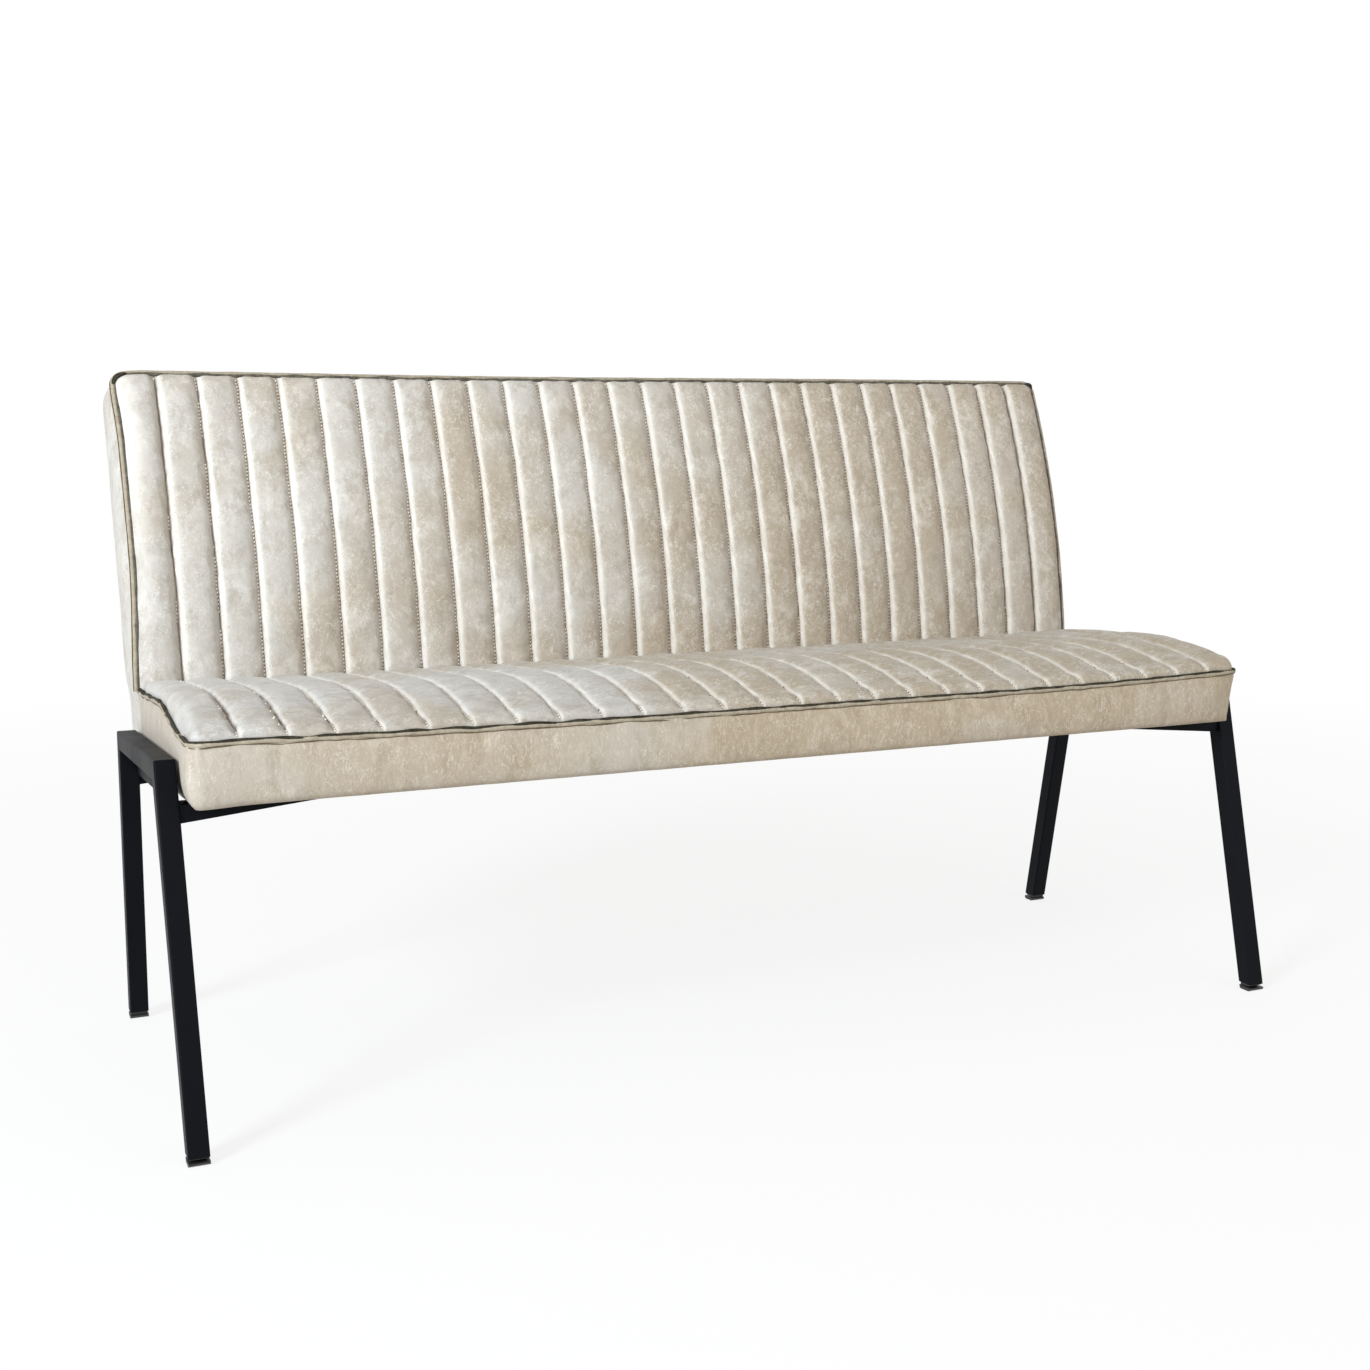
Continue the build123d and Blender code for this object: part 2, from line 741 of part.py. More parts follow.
def cushion_nodes():
    """The nodes of the seat, the back and their fasteners."""
    shapes = {"seat_panel": seat_panel(), "seat_foam": seat_foam(), "seat_boxing": seat_boxing(),
              "seat_welt": seat_welt(), "seat_board": seat_board(), "bottom_lining": bottom_lining(),
              "back_panel": back_panel(), "back_foam": back_foam(), "back_boxing": back_boxing(),
              "back_welt": back_welt(), "back_board": back_board(), "back_top_rail": back_top_rail(),
              "rear_panel": rear_panel()}
    for name, x in zip(("left", "middle", "right"), rib_places):
        shapes["back_rib_" + name] = back_rib(x)
        shapes["back_angle_" + name] = steel_angle(x)
    spots = [Pos(x, y, 0) for x, y in all_bolt_spots()]
    shapes["seat_bolts"] = in_group(hex_bolt(), spots)
    shapes["seat_washers"] = in_group(washer(), spots)
    shapes["seat_nuts"] = in_group(tee_nut(), spots)
    shapes["angle_screws"] = in_group(screw(), screw_places())
    return {name: place_seat * shape for name, shape in shapes.items()}


def main():
    """Write every node, centred over the floor under the bench."""
    nodes = frame_nodes() | cushion_nodes()
    extents = [shape.bounding_box() for shape in nodes.values()]
    front = min(extent.min.Y for extent in extents)
    rear = max(extent.max.Y for extent in extents)
    centre = Pos(0, -(front + rear) / 2, 0)
    os.makedirs("parts", exist_ok=True)
    for name, shape in nodes.items():
        export_step(centre * shape, f"parts/{name}.step")


main()
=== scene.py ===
# %% [markdown]
# # An upholstered dining bench
# The bench is a channel-stitched seat and back on two black side frames of square steel tube.
# The CAD model gives every place and size. This lesson loads it, keeps its hard parts, gives them
# real finishes, and sews a new cover, cord and stitching over the soft ones.

# %% The fixed frame
import bpy, bmesh, math
import numpy as np
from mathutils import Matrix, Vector
from mathutils.bvhtree import BVHTree


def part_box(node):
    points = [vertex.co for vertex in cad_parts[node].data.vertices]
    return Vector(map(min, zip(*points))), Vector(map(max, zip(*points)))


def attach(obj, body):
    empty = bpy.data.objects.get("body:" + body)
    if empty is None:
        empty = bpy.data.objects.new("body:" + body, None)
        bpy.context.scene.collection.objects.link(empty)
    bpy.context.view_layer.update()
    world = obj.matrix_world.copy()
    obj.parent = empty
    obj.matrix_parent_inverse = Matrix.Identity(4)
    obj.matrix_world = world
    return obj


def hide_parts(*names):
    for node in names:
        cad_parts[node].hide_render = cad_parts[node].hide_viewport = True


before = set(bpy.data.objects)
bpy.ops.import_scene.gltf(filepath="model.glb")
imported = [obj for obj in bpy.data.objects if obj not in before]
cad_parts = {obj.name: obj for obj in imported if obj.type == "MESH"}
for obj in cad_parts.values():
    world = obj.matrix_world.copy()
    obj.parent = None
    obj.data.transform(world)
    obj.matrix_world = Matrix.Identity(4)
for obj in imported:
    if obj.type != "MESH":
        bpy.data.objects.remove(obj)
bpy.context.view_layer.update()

# %% [markdown]
# ## The seat's own directions
# The whole cushion leans back by four degrees on the frames, so its shape is easiest to give as a
# place across the bench, a depth behind the seat's front edge and a height above its underside.
# The lining lies exactly on that underside, so its box tells where the seat starts.

# %% Seat directions
seat_pitch = math.radians(4)
seat_cos, seat_sin = math.cos(seat_pitch), math.sin(seat_pitch)
board_inset, lining_thick = 0.0093, 0.001
lining_low, lining_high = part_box("bottom_lining")
seat_front = lining_low.y - board_inset * seat_cos
seat_floor = lining_high.z + board_inset * seat_sin - lining_thick * seat_cos
half_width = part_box("seat_panel")[1].x


def to_frame(x, depth, height):
    """Points of the frame from places across, depths and heights on the seat."""
    x, depth, height = np.broadcast_arrays(x, depth, height)
    return np.stack([x, seat_front + depth * seat_cos + height * seat_sin,
                     seat_floor - depth * seat_sin + height * seat_cos], axis=-1)


def from_frame(points):
    """Depths and heights on the seat from points of the frame."""
    back, up = points[:, 1] - seat_front, points[:, 2] - seat_floor
    return back * seat_cos - up * seat_sin, back * seat_sin + up * seat_cos


print("seat starts at y", round(seat_front, 4), "z", round(seat_floor, 4),
      "half width", round(half_width, 4))

# %% [markdown]
# ## Sizes of the seat and the back
# A maker would draw the cushion's side view first: a rounded nose, a soft rise to a hump two
# fifths from the back, and a back that leaves the seat straight up and then leans in a long arc.
# The sizes are in metres. The CAD model was built from the same ones, apart from the fullness of
# the channels and of the nose and the width of the two outer channels. Those follow the
# photograph more closely here.

# %% Cushion sizes
seat_depth = 0.414
seat_low, seat_high = 0.075, 0.105
rise_start, hump_depth, hump_fall = 0.030, seat_depth * 0.58, 0.002
seat_valley, seat_crest = 0.0068, 0.0125
seat_arc = 0.0074
nose_reach, nose_lift = 0.028, 1.4
panel_crown = 0.002
cushion_gap, cad_crest = 0.0004, 0.009
back_face = seat_depth + cushion_gap + cad_crest + panel_crown
back_straight, back_radius, back_lean = 0.062, 1.245, math.radians(22)
back_valley, back_crest = 0.0020, 0.0098
back_thick_low, back_thick_top = 0.109, 0.098
edge_lift = 0.0015
outer_fill, outer_blend = 0.004, 0.12
plan_round = 0.014
seat_side_round, back_side_round, back_top_round = 0.011, 0.024, 0.020
shoulder = 0.0072
band_bulge, band_inset, rear_inset = 0.006, 0.0098, 0.0095
cord_radius = 0.003
seam_count = 26
edge_channel = 0.0545
channel_width = 2 * (half_width - edge_channel) / (seam_count - 1)
seams = (np.arange(seam_count) - (seam_count - 1) / 2) * channel_width
print("channels are", round(channel_width * 1000, 1), "mm wide")

# %% [markdown]
# ## Small irregularities
# Hand-guided sewing is never perfectly even. A sum of a few sine waves gives a smooth wobble
# that is the same on every run, which seams, cords and creases all borrow from. The smooth step,
# the round rise and the bell say where along a piece such a change starts, ends or is fullest.

# %% Wobble
def wobble(along, pitch, seed):
    """A smooth wave between about -1 and 1 whose bumps are about a pitch long."""
    chance = np.random.default_rng(seed)
    waves = [np.sin(along * 2 * math.pi / (pitch * length) + phase)
             for length, phase in zip(chance.uniform(0.6, 2.4, 5), chance.uniform(0, 6.28, 5))]
    return sum(waves) / 3


def smooth_step(share):
    """A soft start and end between 0 and 1."""
    share = np.clip(share, 0, 1)
    return share * share * (3 - 2 * share)


def round_rise(distance, reach, power=2.2):
    """A quarter-round rise from 0 at an edge to 1 at reach."""
    share = np.clip(distance / reach, 0, 1)
    return (1 - (1 - share) ** power) ** (1 / power)


def bell(distance, width):
    """A smooth bump: 1 in its middle, about a third one width away and nearly 0 at two."""
    return np.exp(-(distance / width) ** 2)


print("wobble sample", np.round(wobble(np.linspace(0, 0.2, 5), 0.05, 3), 2))

# %% [markdown]
# ## Cameras, light and floor
# The photograph looks down at the bench from its front left. The camera's place and turn were
# found by fitting the four feet and the corners of the cushions to the photograph. Its focal
# length came out in pixels of the photograph, so it is turned into millimetres of the sensor.
# The picture was cropped off centre, which the small lens shift copies.

# %% Camera
feet_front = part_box("front_foot_cap_left")[0].y
look_yaw, look_down = math.radians(24.033), math.radians(10.627)
photo_width, focal_length, sensor_width = 1370, 1729.98, 36
bpy.ops.object.camera_add(location=(-1.0066, -1.8958 + feet_front, 0.8193))
camera = bpy.context.object
camera.name = "photo_camera"
look = Vector((math.sin(look_yaw) * math.cos(look_down), math.cos(look_yaw) * math.cos(look_down),
               -math.sin(look_down)))
camera.rotation_euler = look.to_track_quat("-Z", "Y").to_euler()
camera.data.sensor_width = sensor_width
camera.data.lens = focal_length / photo_width * sensor_width
camera.data.shift_x, camera.data.shift_y = -0.00158, 0.04945
bpy.context.scene.camera = camera
print("camera at", [round(v, 3) for v in camera.location], "lens", round(camera.data.lens, 1))

# %% [markdown]
# A studio has one large soft lamp on the left, a weaker one on the right and pale walls all
# round. The long lamp stands well to the left, so that it rakes over the channels and lights
# each one's left shoulder.

# %% Lamps
def soft_lamp(name, place, target, size, power, colour):
    """A rectangular area lamp that points at a target."""
    bpy.ops.object.light_add(type="AREA", location=place)
    lamp = bpy.context.object
    lamp.name = name
    lamp.data.shape = "RECTANGLE"
    lamp.data.size, lamp.data.size_y = size
    lamp.data.energy = power
    lamp.data.color = colour
    lamp.rotation_euler = (Vector(target) - Vector(place)).to_track_quat("-Z", "Y").to_euler()
    print(name, "at", place, power, "W")


bench_middle = (0, 0, 0.55)
soft_lamp("left_lamp", (-4.0, -2.3, 2.5), bench_middle, (1.2, 1.6), 215, (0.885, 0.945, 1.0))
soft_lamp("front_lamp", (1.4, -3.5, 1.9), bench_middle, (2.6, 1.6), 26, (1.0, 0.94, 0.87))

# %% [markdown]
# The walls are the world's colour. The camera sees them plain white, also in glossy reflections.
# The light that they throw on the bench is weaker and slightly warm.

# %% World
world = bpy.data.worlds.new("studio_walls")
bpy.context.scene.world = world
world.use_nodes = True
walls = world.node_tree
walls.nodes.clear()


def seen_directly(tree):
    """A value of 1 for rays from the camera and for mirror and glass rays, otherwise 0."""
    path = tree.nodes.new("ShaderNodeLightPath")
    total = path.outputs["Is Camera Ray"]
    for name in ("Is Glossy Ray", "Is Transmission Ray"):
        add = tree.nodes.new("ShaderNodeMath")
        add.operation, add.use_clamp = "ADD", True
        tree.links.new(total, add.inputs[0])
        tree.links.new(path.outputs[name], add.inputs[1])
        total = add.outputs[0]
    return total


def mix_shaders(tree, share, first, second):
    """Two shaders mixed by a value, the second at 1."""
    mix = tree.nodes.new("ShaderNodeMixShader")
    tree.links.new(share, mix.inputs[0])
    tree.links.new(first, mix.inputs[1])
    tree.links.new(second, mix.inputs[2])
    return mix.outputs[0]


fill = walls.nodes.new("ShaderNodeBackground")
fill.inputs["Color"].default_value = (1.0, 0.985, 0.955, 1)
fill.inputs["Strength"].default_value = 0.48
plain = walls.nodes.new("ShaderNodeBackground")
plain.inputs["Strength"].default_value = 1
plain.inputs["Color"].default_value = (1, 1, 1, 1)
world_out = walls.nodes.new("ShaderNodeOutputWorld")
walls.links.new(mix_shaders(walls, seen_directly(walls), fill.outputs[0], plain.outputs[0]),
                world_out.inputs["Surface"])
bpy.context.scene.view_settings.view_transform = "Standard"
print("world fill", fill.inputs["Strength"].default_value)

# %% [markdown]
# The floor is a plain white sheet. Part of what the camera sees of it is plain white too, and all
# of it a few metres away, so that it runs into the background without an edge. Near the bench the
# rest still takes its soft shadow.

# %% Floor
bpy.ops.mesh.primitive_plane_add(size=60, location=(0, 0, -0.0005))
floor = bpy.context.object
floor.name = "studio_floor"
floor_mat = bpy.data.materials.new("studio_floor")
floor_mat.use_nodes = True
floor_tree = floor_mat.node_tree
floor_tree.nodes.clear()
sheet = floor_tree.nodes.new("ShaderNodeBsdfDiffuse")
sheet.inputs["Color"].default_value = (0.93, 0.93, 0.93, 1)
glow = floor_tree.nodes.new("ShaderNodeEmission")
glow.inputs["Color"].default_value = (1, 1, 1, 1)
far = floor_tree.nodes.new("ShaderNodeVectorMath")
far.operation = "LENGTH"
floor_tree.links.new(floor_tree.nodes.new("ShaderNodeTexCoord").outputs["Object"], far.inputs[0])
whiter = floor_tree.nodes.new("ShaderNodeMapRange")
for name, number in (("From Min", 0.8), ("From Max", 3.5), ("To Min", 0.84), ("To Max", 1.0)):
    whiter.inputs[name].default_value = number
floor_tree.links.new(far.outputs["Value"], whiter.inputs["Value"])
share = floor_tree.nodes.new("ShaderNodeMath")
share.operation = "MULTIPLY"
floor_tree.links.new(whiter.outputs["Result"], share.inputs[1])
floor_tree.links.new(seen_directly(floor_tree), share.inputs[0])
floor_out = floor_tree.nodes.new("ShaderNodeOutputMaterial")
floor_tree.links.new(mix_shaders(floor_tree, share.outputs[0], sheet.outputs[0], glow.outputs[0]),
                     floor_out.inputs["Surface"])
floor.data.materials.append(floor_mat)
print("floor laid")

# %% [markdown]
# ## Writing a finish
# Each finish is a small recipe of noise patterns that mix colours and raise tiny bumps. The
# patterns are measured in metres from the bench's own centre, so a speckle keeps its size on
# every piece. These helpers keep each recipe to a few lines.

# %% Finish helpers
class Finish:
    """A material's recipe: patterns in metres, colour mixes, bumps and one surface shader."""

    def __init__(self, name):
        self.mat = bpy.data.materials.new(name)
        self.mat.use_nodes = True
        self.tree = self.mat.node_tree
        self.shader = self.tree.nodes["Principled BSDF"]
        self.place = self.tree.nodes.new("ShaderNodeTexCoord").outputs["Object"]

    def link(self, socket, value):
        """Give an input a linked value or a plain one."""
        if isinstance(value, bpy.types.NodeSocket):
            self.tree.links.new(value, socket)
        else:
            socket.default_value = value

    def stretched(self, scale, turn=(0, 0, 0), place=None):
        """The place scaled and turned, for patterns that run one way."""
        node = self.tree.nodes.new("ShaderNodeMapping")
        node.inputs["Scale"].default_value = scale
        node.inputs["Rotation"].default_value = turn
        self.link(node.inputs["Vector"], place or self.place)
        return node.outputs[0]

    def noise(self, scale, detail=3, rough=0.55, warp=0.0, place=None):
        """Cloudy noise, scale in bumps per metre."""
        node = self.tree.nodes.new("ShaderNodeTexNoise")
        node.inputs["Scale"].default_value = scale
        node.inputs["Detail"].default_value = detail
        node.inputs["Roughness"].default_value = rough
        node.inputs["Distortion"].default_value = warp
        self.link(node.inputs["Vector"], place or self.place)
        return node.outputs["Fac"]

    def cracks(self, scale, place=None):
        """Distance to the borders of irregular cells."""
        node = self.tree.nodes.new("ShaderNodeTexVoronoi")
        node.feature = "DISTANCE_TO_EDGE"
        node.inputs["Scale"].default_value = scale
        self.link(node.inputs["Vector"], place or self.place)
        return node.outputs["Distance"]

    def between(self, value, low, high, start=0.0, end=1.0):
        """A value from low to high turned into start to end, and held at both ends."""
        node = self.tree.nodes.new("ShaderNodeMapRange")
        for name, number in (("From Min", low), ("From Max", high), ("To Min", start), ("To Max", end)):
            node.inputs[name].default_value = number
        self.link(node.inputs["Value"], value)
        return node.outputs["Result"]

    def times(self, first, second, how="MULTIPLY"):
        """Two values multiplied, or combined another way."""
        node = self.tree.nodes.new("ShaderNodeMath")
        node.operation = how
        self.link(node.inputs[0], first)
        self.link(node.inputs[1], second)
        return node.outputs[0]

    def blend(self, share, first, second, how="MIX"):
        """Two colours mixed by a share."""
        node = self.tree.nodes.new("ShaderNodeMix")
        node.data_type, node.blend_type = "RGBA", how
        self.link(node.inputs[0], share)
        self.link(node.inputs[6], first)
        self.link(node.inputs[7], second)
        return node.outputs[2]

    def attribute(self, name):
        """A value painted on the piece's own vertices."""
        node = self.tree.nodes.new("ShaderNodeAttribute")
        node.attribute_name = name
        return node.outputs["Fac"]

    def bump(self, height, strength, distance, under=None):
        """A bump on top of another one."""
        node = self.tree.nodes.new("ShaderNodeBump")
        node.inputs["Strength"].default_value = strength
        node.inputs["Distance"].default_value = distance
        self.link(node.inputs["Height"], height)
        if under:
            self.link(node.inputs["Normal"], under)
        return node.outputs[0]

    def surface(self, **values):
        """Fill in the shader's inputs by name."""
        for name, value in values.items():
            label = name.replace("_", " ").title().replace("Ior", "IOR")
            self.link(self.shader.inputs[label], value)
        return self.mat


def colour(red, green, blue):
    """A colour given as on a screen, 0 to 255, made into the light values that the shader takes."""
    light = (((v / 255 + 0.055) / 1.055) ** 2.4 if v > 10 else v / 3294 for v in (red, green, blue))
    return (*light, 1)


print("finish helpers ready")

# %% [markdown]
# ## The cover fabric
# The cover is a brushed microfibre with a leather look: a champagne ground, cooler and warmer
# clouds a hand wide, finger-sized mottling, and fine pale scratches where the nap is crushed.
# A painted light tint runs from cooler at the left end to warmer at the right one. A slight sheen
# brightens it where it turns away. Two values that the sewing cells paint on the pieces change it
# at the seams: a painted highlight makes the shoulder that faces the lamp paler, and painted shade
# makes the creases browner.

# %% Scratches of the nap
def strokes(f, scale, width, place, seed_shift):
    """Thin curling strokes: the contour lines of a noise pattern, broken into short ones."""
    moved = f.stretched((1, 1, 1), (0, 0, 0), place)
    moved.node.inputs["Location"].default_value = (seed_shift, 2 * seed_shift, -seed_shift)
    level = f.times(f.times(f.noise(scale, 2, 0.5, 0.9, moved), 0.5, "SUBTRACT"), 0.0, "ABSOLUTE")
    line = f.between(level, 0.0, width, 1, 0)
    return f.times(line, f.between(f.noise(scale * 0.9, 2, 0.5, 0, moved), 0.46, 0.56))


print("strokes ready")

# %% [markdown]
# The finish itself mixes these patterns from coarse to fine: the drift and the clouds, the
# mottling, the crushed places, the scratches, the grain, and at last the two painted values.

# %% Cover finish
# The colours of the painted highlight on the seams' lit shoulders and of the painted shade in their
# creases.
painted_highlight_colour, painted_shade_brown = colour(244, 241, 234), colour(116, 98, 76)


def cover_finish(name, warm, cool, dark, pale, lay, fine=1.0, scratched=0.62):
    """The brushed cover in one tone, its nap along the lay; fine above 1 makes finer strokes."""
    f = Finish(name)
    along_lay = f.stretched(lay)
    across = f.tree.nodes.new("ShaderNodeSeparateXYZ")
    f.link(across.inputs[0], f.place)
    # Painted light: a cooler tone towards the left end and a warmer one towards the right, as from the
    # cool left lamp.
    drift = f.between(across.outputs["X"], -0.75, 0.30, 0.62, -0.60)
    clouds = f.times(f.between(f.noise(5.5, 2, 0.5, 0.4), 0.38, 0.62), drift, "ADD")
    mottle = f.between(f.noise(46, 6, 0.72, 0.3, along_lay), 0.34, 0.66)
    grain = f.between(f.noise(640, 4, 0.7, 0.3, along_lay), 0.3, 0.7)
    base = f.blend(clouds, warm, cool)
    base = f.blend(f.between(mottle, 0, 0.55, 0.42, 0), base, dark)
    crushed = f.times(f.between(f.noise(19, 6, 0.72, 0.5), 0.50, 0.62), f.between(mottle, 0.25, 0.8))
    base = f.blend(f.times(crushed, 0.36), base, pale)
    curls = f.times(strokes(f, 105 * fine, 0.032, along_lay, 0.0),
                    strokes(f, 78 * fine, 0.024, f.place, 3.1), "MAXIMUM")
    tiny_curls = f.times(strokes(f, 175 * fine, 0.05, along_lay, 7.7), 0.9)
    curls = f.times(curls, tiny_curls, "MAXIMUM")
    scratches = f.times(curls, f.between(f.noise(24, 3, 0.6), 0.36, 0.58, 0.30, 1))
    base = f.blend(f.times(scratches, scratched), base, pale)
    base = f.blend(f.times(grain, 0.20), base, dark)
    # Painted highlight: the lit shoulders of the seams and the upper left edge turn pale.
    base = f.blend(f.times(f.attribute("shoulder_highlight"), 0.74), base, painted_highlight_colour)
    # Painted shade: the creases turn brown.
    base = f.blend(f.times(f.attribute("crease_shade"), 0.66), base, painted_shade_brown)
    rough = f.between(f.times(mottle, f.times(scratches, 0.6), "SUBTRACT"), -0.6, 1, 0.46, 0.66)
    soft = f.bump(f.noise(75, 4, 0.6, 0.5), 0.25, 0.0010)
    soft = f.bump(scratches, 0.35, 0.0005, soft)
    soft = f.bump(grain, 0.22, 0.0003, soft)
    return f.surface(base_color=base, roughness=rough, normal=soft, specular_ior_level=0.30,
                     sheen_weight=0.20, sheen_roughness=0.38, sheen_tint=(1, 0.98, 0.95, 1))


# One cloth in three finishes: the band's darker, warmer tones are painted shade, the seat's and the
# back's paler, cooler ones a painted sheen; the lay of the nap and the strokes differ for real.
seat_cover = cover_finish("cover_seat", colour(175, 162, 142), colour(194, 192, 188),
                          colour(144, 134, 119), colour(232, 231, 228), (0.6, 1, 1))
band_cover = cover_finish("cover_band", colour(176, 161, 138), colour(186, 178, 166),
                          colour(146, 130, 108), colour(214, 205, 190), (1, 1, 0.35), 1.35, 0.95)
back_cover_finish = cover_finish("cover_back", colour(179, 166, 147), colour(200, 196, 189),
                                 colour(150, 137, 119), colour(238, 235, 229), (1, 1, 0.65), 1.1)
print("cover finishes made")

# %% [markdown]
# ## Cord, thread and seam lines
# A cord covered in a pale cloth is sewn between the top and the band of each cushion. Beside it
# run thin dark lines: an olive one above the seat's cord, a brown one below it and one behind the
# back's cord are painted shade in the gaps there, and a dark grey one runs along the back's cord.
# The channel stitches are a thick cream thread.

# %% Cord and thread finishes
def cord_finish(name, light, dark, roughness):
    """A thin fabric-covered cord with a twill-like grain and small dirty spots."""
    f = Finish(name)
    spots = f.between(f.noise(160, 4, 0.65), 0.35, 0.7)
    rows = f.between(f.noise(900, 2, 0.5, 0.5, f.stretched((1, 0.3, 1), (0.5, 0.2, 0.4))), 0.35, 0.65)
    base = f.blend(spots, dark, light)
    base = f.blend(f.times(rows, 0.25), base, dark)
    return f.surface(base_color=base, roughness=f.between(spots, 0, 1, roughness, roughness + 0.15),
                     normal=f.bump(rows, 0.3, 0.0003), specular_ior_level=0.15)


cord_cloth = cord_finish("cord_cloth", colour(186, 177, 160), colour(154, 143, 123), 0.6)
# The olive and the brown finish are painted shade for the gaps beside the cords.
cord_olive = cord_finish("cord_olive", colour(78, 74, 60), colour(30, 27, 22), 0.7)
cord_grey = cord_finish("cord_grey", colour(124, 120, 108), colour(72, 69, 60), 0.7)
seam_brown = cord_finish("seam_brown", colour(124, 106, 82), colour(84, 72, 56), 0.7)
thread_cream = cord_finish("thread_cream", colour(243, 238, 229), colour(224, 214, 198), 0.6)
print("cord and thread finishes made")

# %% [markdown]
# ## Finishes of the hard parts
# The tube is powder-coated: nearly black, slightly blue, with the fine orange-peel that powder
# leaves. The foot caps are moulded plastic. Neither is one flat colour on the real bench.

# %% Powder coat and plastic
def paint_finish():
    """Matt black powder coat with fine texture, dust and lighter rubbed places."""
    f = Finish("powder_coat")
    dust = f.between(f.noise(9, 4, 0.6), 0.45, 0.75)
    speck = f.noise(1500, 2, 0.5)
    peel = f.noise(420, 2, 0.5)
    base = f.blend(f.times(dust, 0.5), (0.0014, 0.0021, 0.0037, 1), (0.0040, 0.0057, 0.0088, 1))
    base = f.blend(f.between(speck, 0.66, 0.72, 0, 0.3), base, (0.022, 0.026, 0.032, 1))
    return f.surface(base_color=base, roughness=f.between(dust, 0, 1, 0.48, 0.60),
                     normal=f.bump(speck, 0.10, 0.0002, f.bump(peel, 0.22, 0.0004)),
                     specular_ior_level=0.09)


def plastic_finish():
    """Moulded black plastic, slightly scuffed near the floor."""
    f = Finish("cap_plastic")
    scuff = f.between(f.noise(240, 5, 0.7, 0.6, f.stretched((1, 1, 4))), 0.5, 0.72)
    low = f.tree.nodes.new("ShaderNodeSeparateXYZ")
    f.link(low.inputs[0], f.place)
    near_floor = f.between(low.outputs["Z"], 0.0, 0.006, 1, 0.15)
    base = f.blend(f.times(scuff, near_floor), (0.011, 0.011, 0.012, 1), (0.06, 0.058, 0.055, 1))
    return f.surface(base_color=base, roughness=f.between(scuff, 0, 1, 0.42, 0.62),
                     normal=f.bump(f.noise(1300, 2), 0.12, 0.0002))


powder_coat, cap_plastic = paint_finish(), plastic_finish()
print("powder coat and cap plastic made")

# %% [markdown]
# The inner frame is birch plywood and softwood, and its fasteners are zinc-plated. A black
# lining closes the bench below. Most of this is hidden, but it is there when the bench is opened.

# %% Wood, zinc and lining
def wood_finish():
    """Pale birch plywood with long grain along the bench and thin layers on its edges."""
    f = Finish("birch_wood")
    grain = f.noise(60, 5, 0.65, 0.8, f.stretched((0.06, 1, 1)))
    pores = f.between(f.noise(700, 2, 0.6, 0.0, f.stretched((0.03, 1, 1))), 0.58, 0.7)
    ply = f.tree.nodes.new("ShaderNodeTexWave")
    ply.wave_type, ply.bands_direction = "BANDS", "Z"
    ply.inputs["Scale"].default_value = 110
    ply.inputs["Distortion"].default_value = 0.6
    f.link(ply.inputs["Vector"], f.place)
    base = f.blend(f.between(grain, 0.35, 0.68), colour(222, 194, 152), colour(190, 152, 106))
    base = f.blend(f.times(ply.outputs["Fac"], 0.18), base, colour(150, 112, 74))
    base = f.blend(f.times(pores, 0.5), base, colour(128, 92, 58))
    return f.surface(base_color=base, roughness=f.between(grain, 0.3, 0.7, 0.55, 0.72),
                     normal=f.bump(grain, 0.2, 0.0005, f.bump(pores, 0.15, 0.0002)))


def zinc_finish():
    """Zinc plating: bright metal with a faint yellow-blue cloud and fine brushing."""
    f = Finish("zinc_plate")
    clouds = f.between(f.noise(120, 3, 0.6), 0.35, 0.65)
    brushed = f.noise(1400, 3, 0.6, 0.0, f.stretched((1, 1, 0.08), (0.4, 0.2, 0)))
    base = f.blend(clouds, (0.60, 0.61, 0.60, 1), (0.66, 0.63, 0.55, 1))
    return f.surface(base_color=base, metallic=0.95, roughness=f.between(brushed, 0.3, 0.7, 0.26, 0.42),
                     normal=f.bump(brushed, 0.12, 0.0002))


def lining_finish():
    """Black spun-bonded cloth: thin fibres pressed flat, with a faint embossed dot grid."""
    f = Finish("black_lining")
    fibres = f.between(f.noise(420, 4, 0.7, 1.5), 0.4, 0.65)
    dots = f.tree.nodes.new("ShaderNodeTexVoronoi")
    dots.inputs["Scale"].default_value = 480
    dots.inputs["Randomness"].default_value = 0.15
    f.link(dots.inputs["Vector"], f.place)
    pressed = f.between(dots.outputs["Distance"], 0.15, 0.4)
    base = f.blend(fibres, (0.008, 0.008, 0.009, 1), (0.026, 0.026, 0.028, 1))
    return f.surface(base_color=base, roughness=f.between(pressed, 0, 1, 0.5, 0.85),
                     normal=f.bump(pressed, 0.4, 0.0002, f.bump(fibres, 0.3, 0.0003)), sheen_weight=0.1)


birch_wood, zinc_plate, black_lining = wood_finish(), zinc_finish(), lining_finish()
print("wood, zinc and lining finishes made")

# %% [markdown]
# The CAD model only names what each of its nodes is made of. Every node gets the finish that
# stands for that name, also those that a softer piece replaces later.

# %% Finishes on the nodes
node_finishes = {"frame_paint": powder_coat, "cap_plastic": cap_plastic, "board_wood": birch_wood,
                 "zinc_steel": zinc_plate, "lining_cloth": black_lining, "upholstery": seat_cover,
                 "welt": cord_cloth, "foam": band_cover}
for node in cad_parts.values():
    slot_name = node.data.materials[0].name.split(".")[0]
    node.data.materials[0] = node_finishes[slot_name]
print("finishes on", len(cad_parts), "nodes")

# %% [markdown]
# ## Curves of the seat and the back
# Both cushions are described by a base curve and a lift above it. The seat's curve runs from its
# front edge over the nose and the hump to the back.

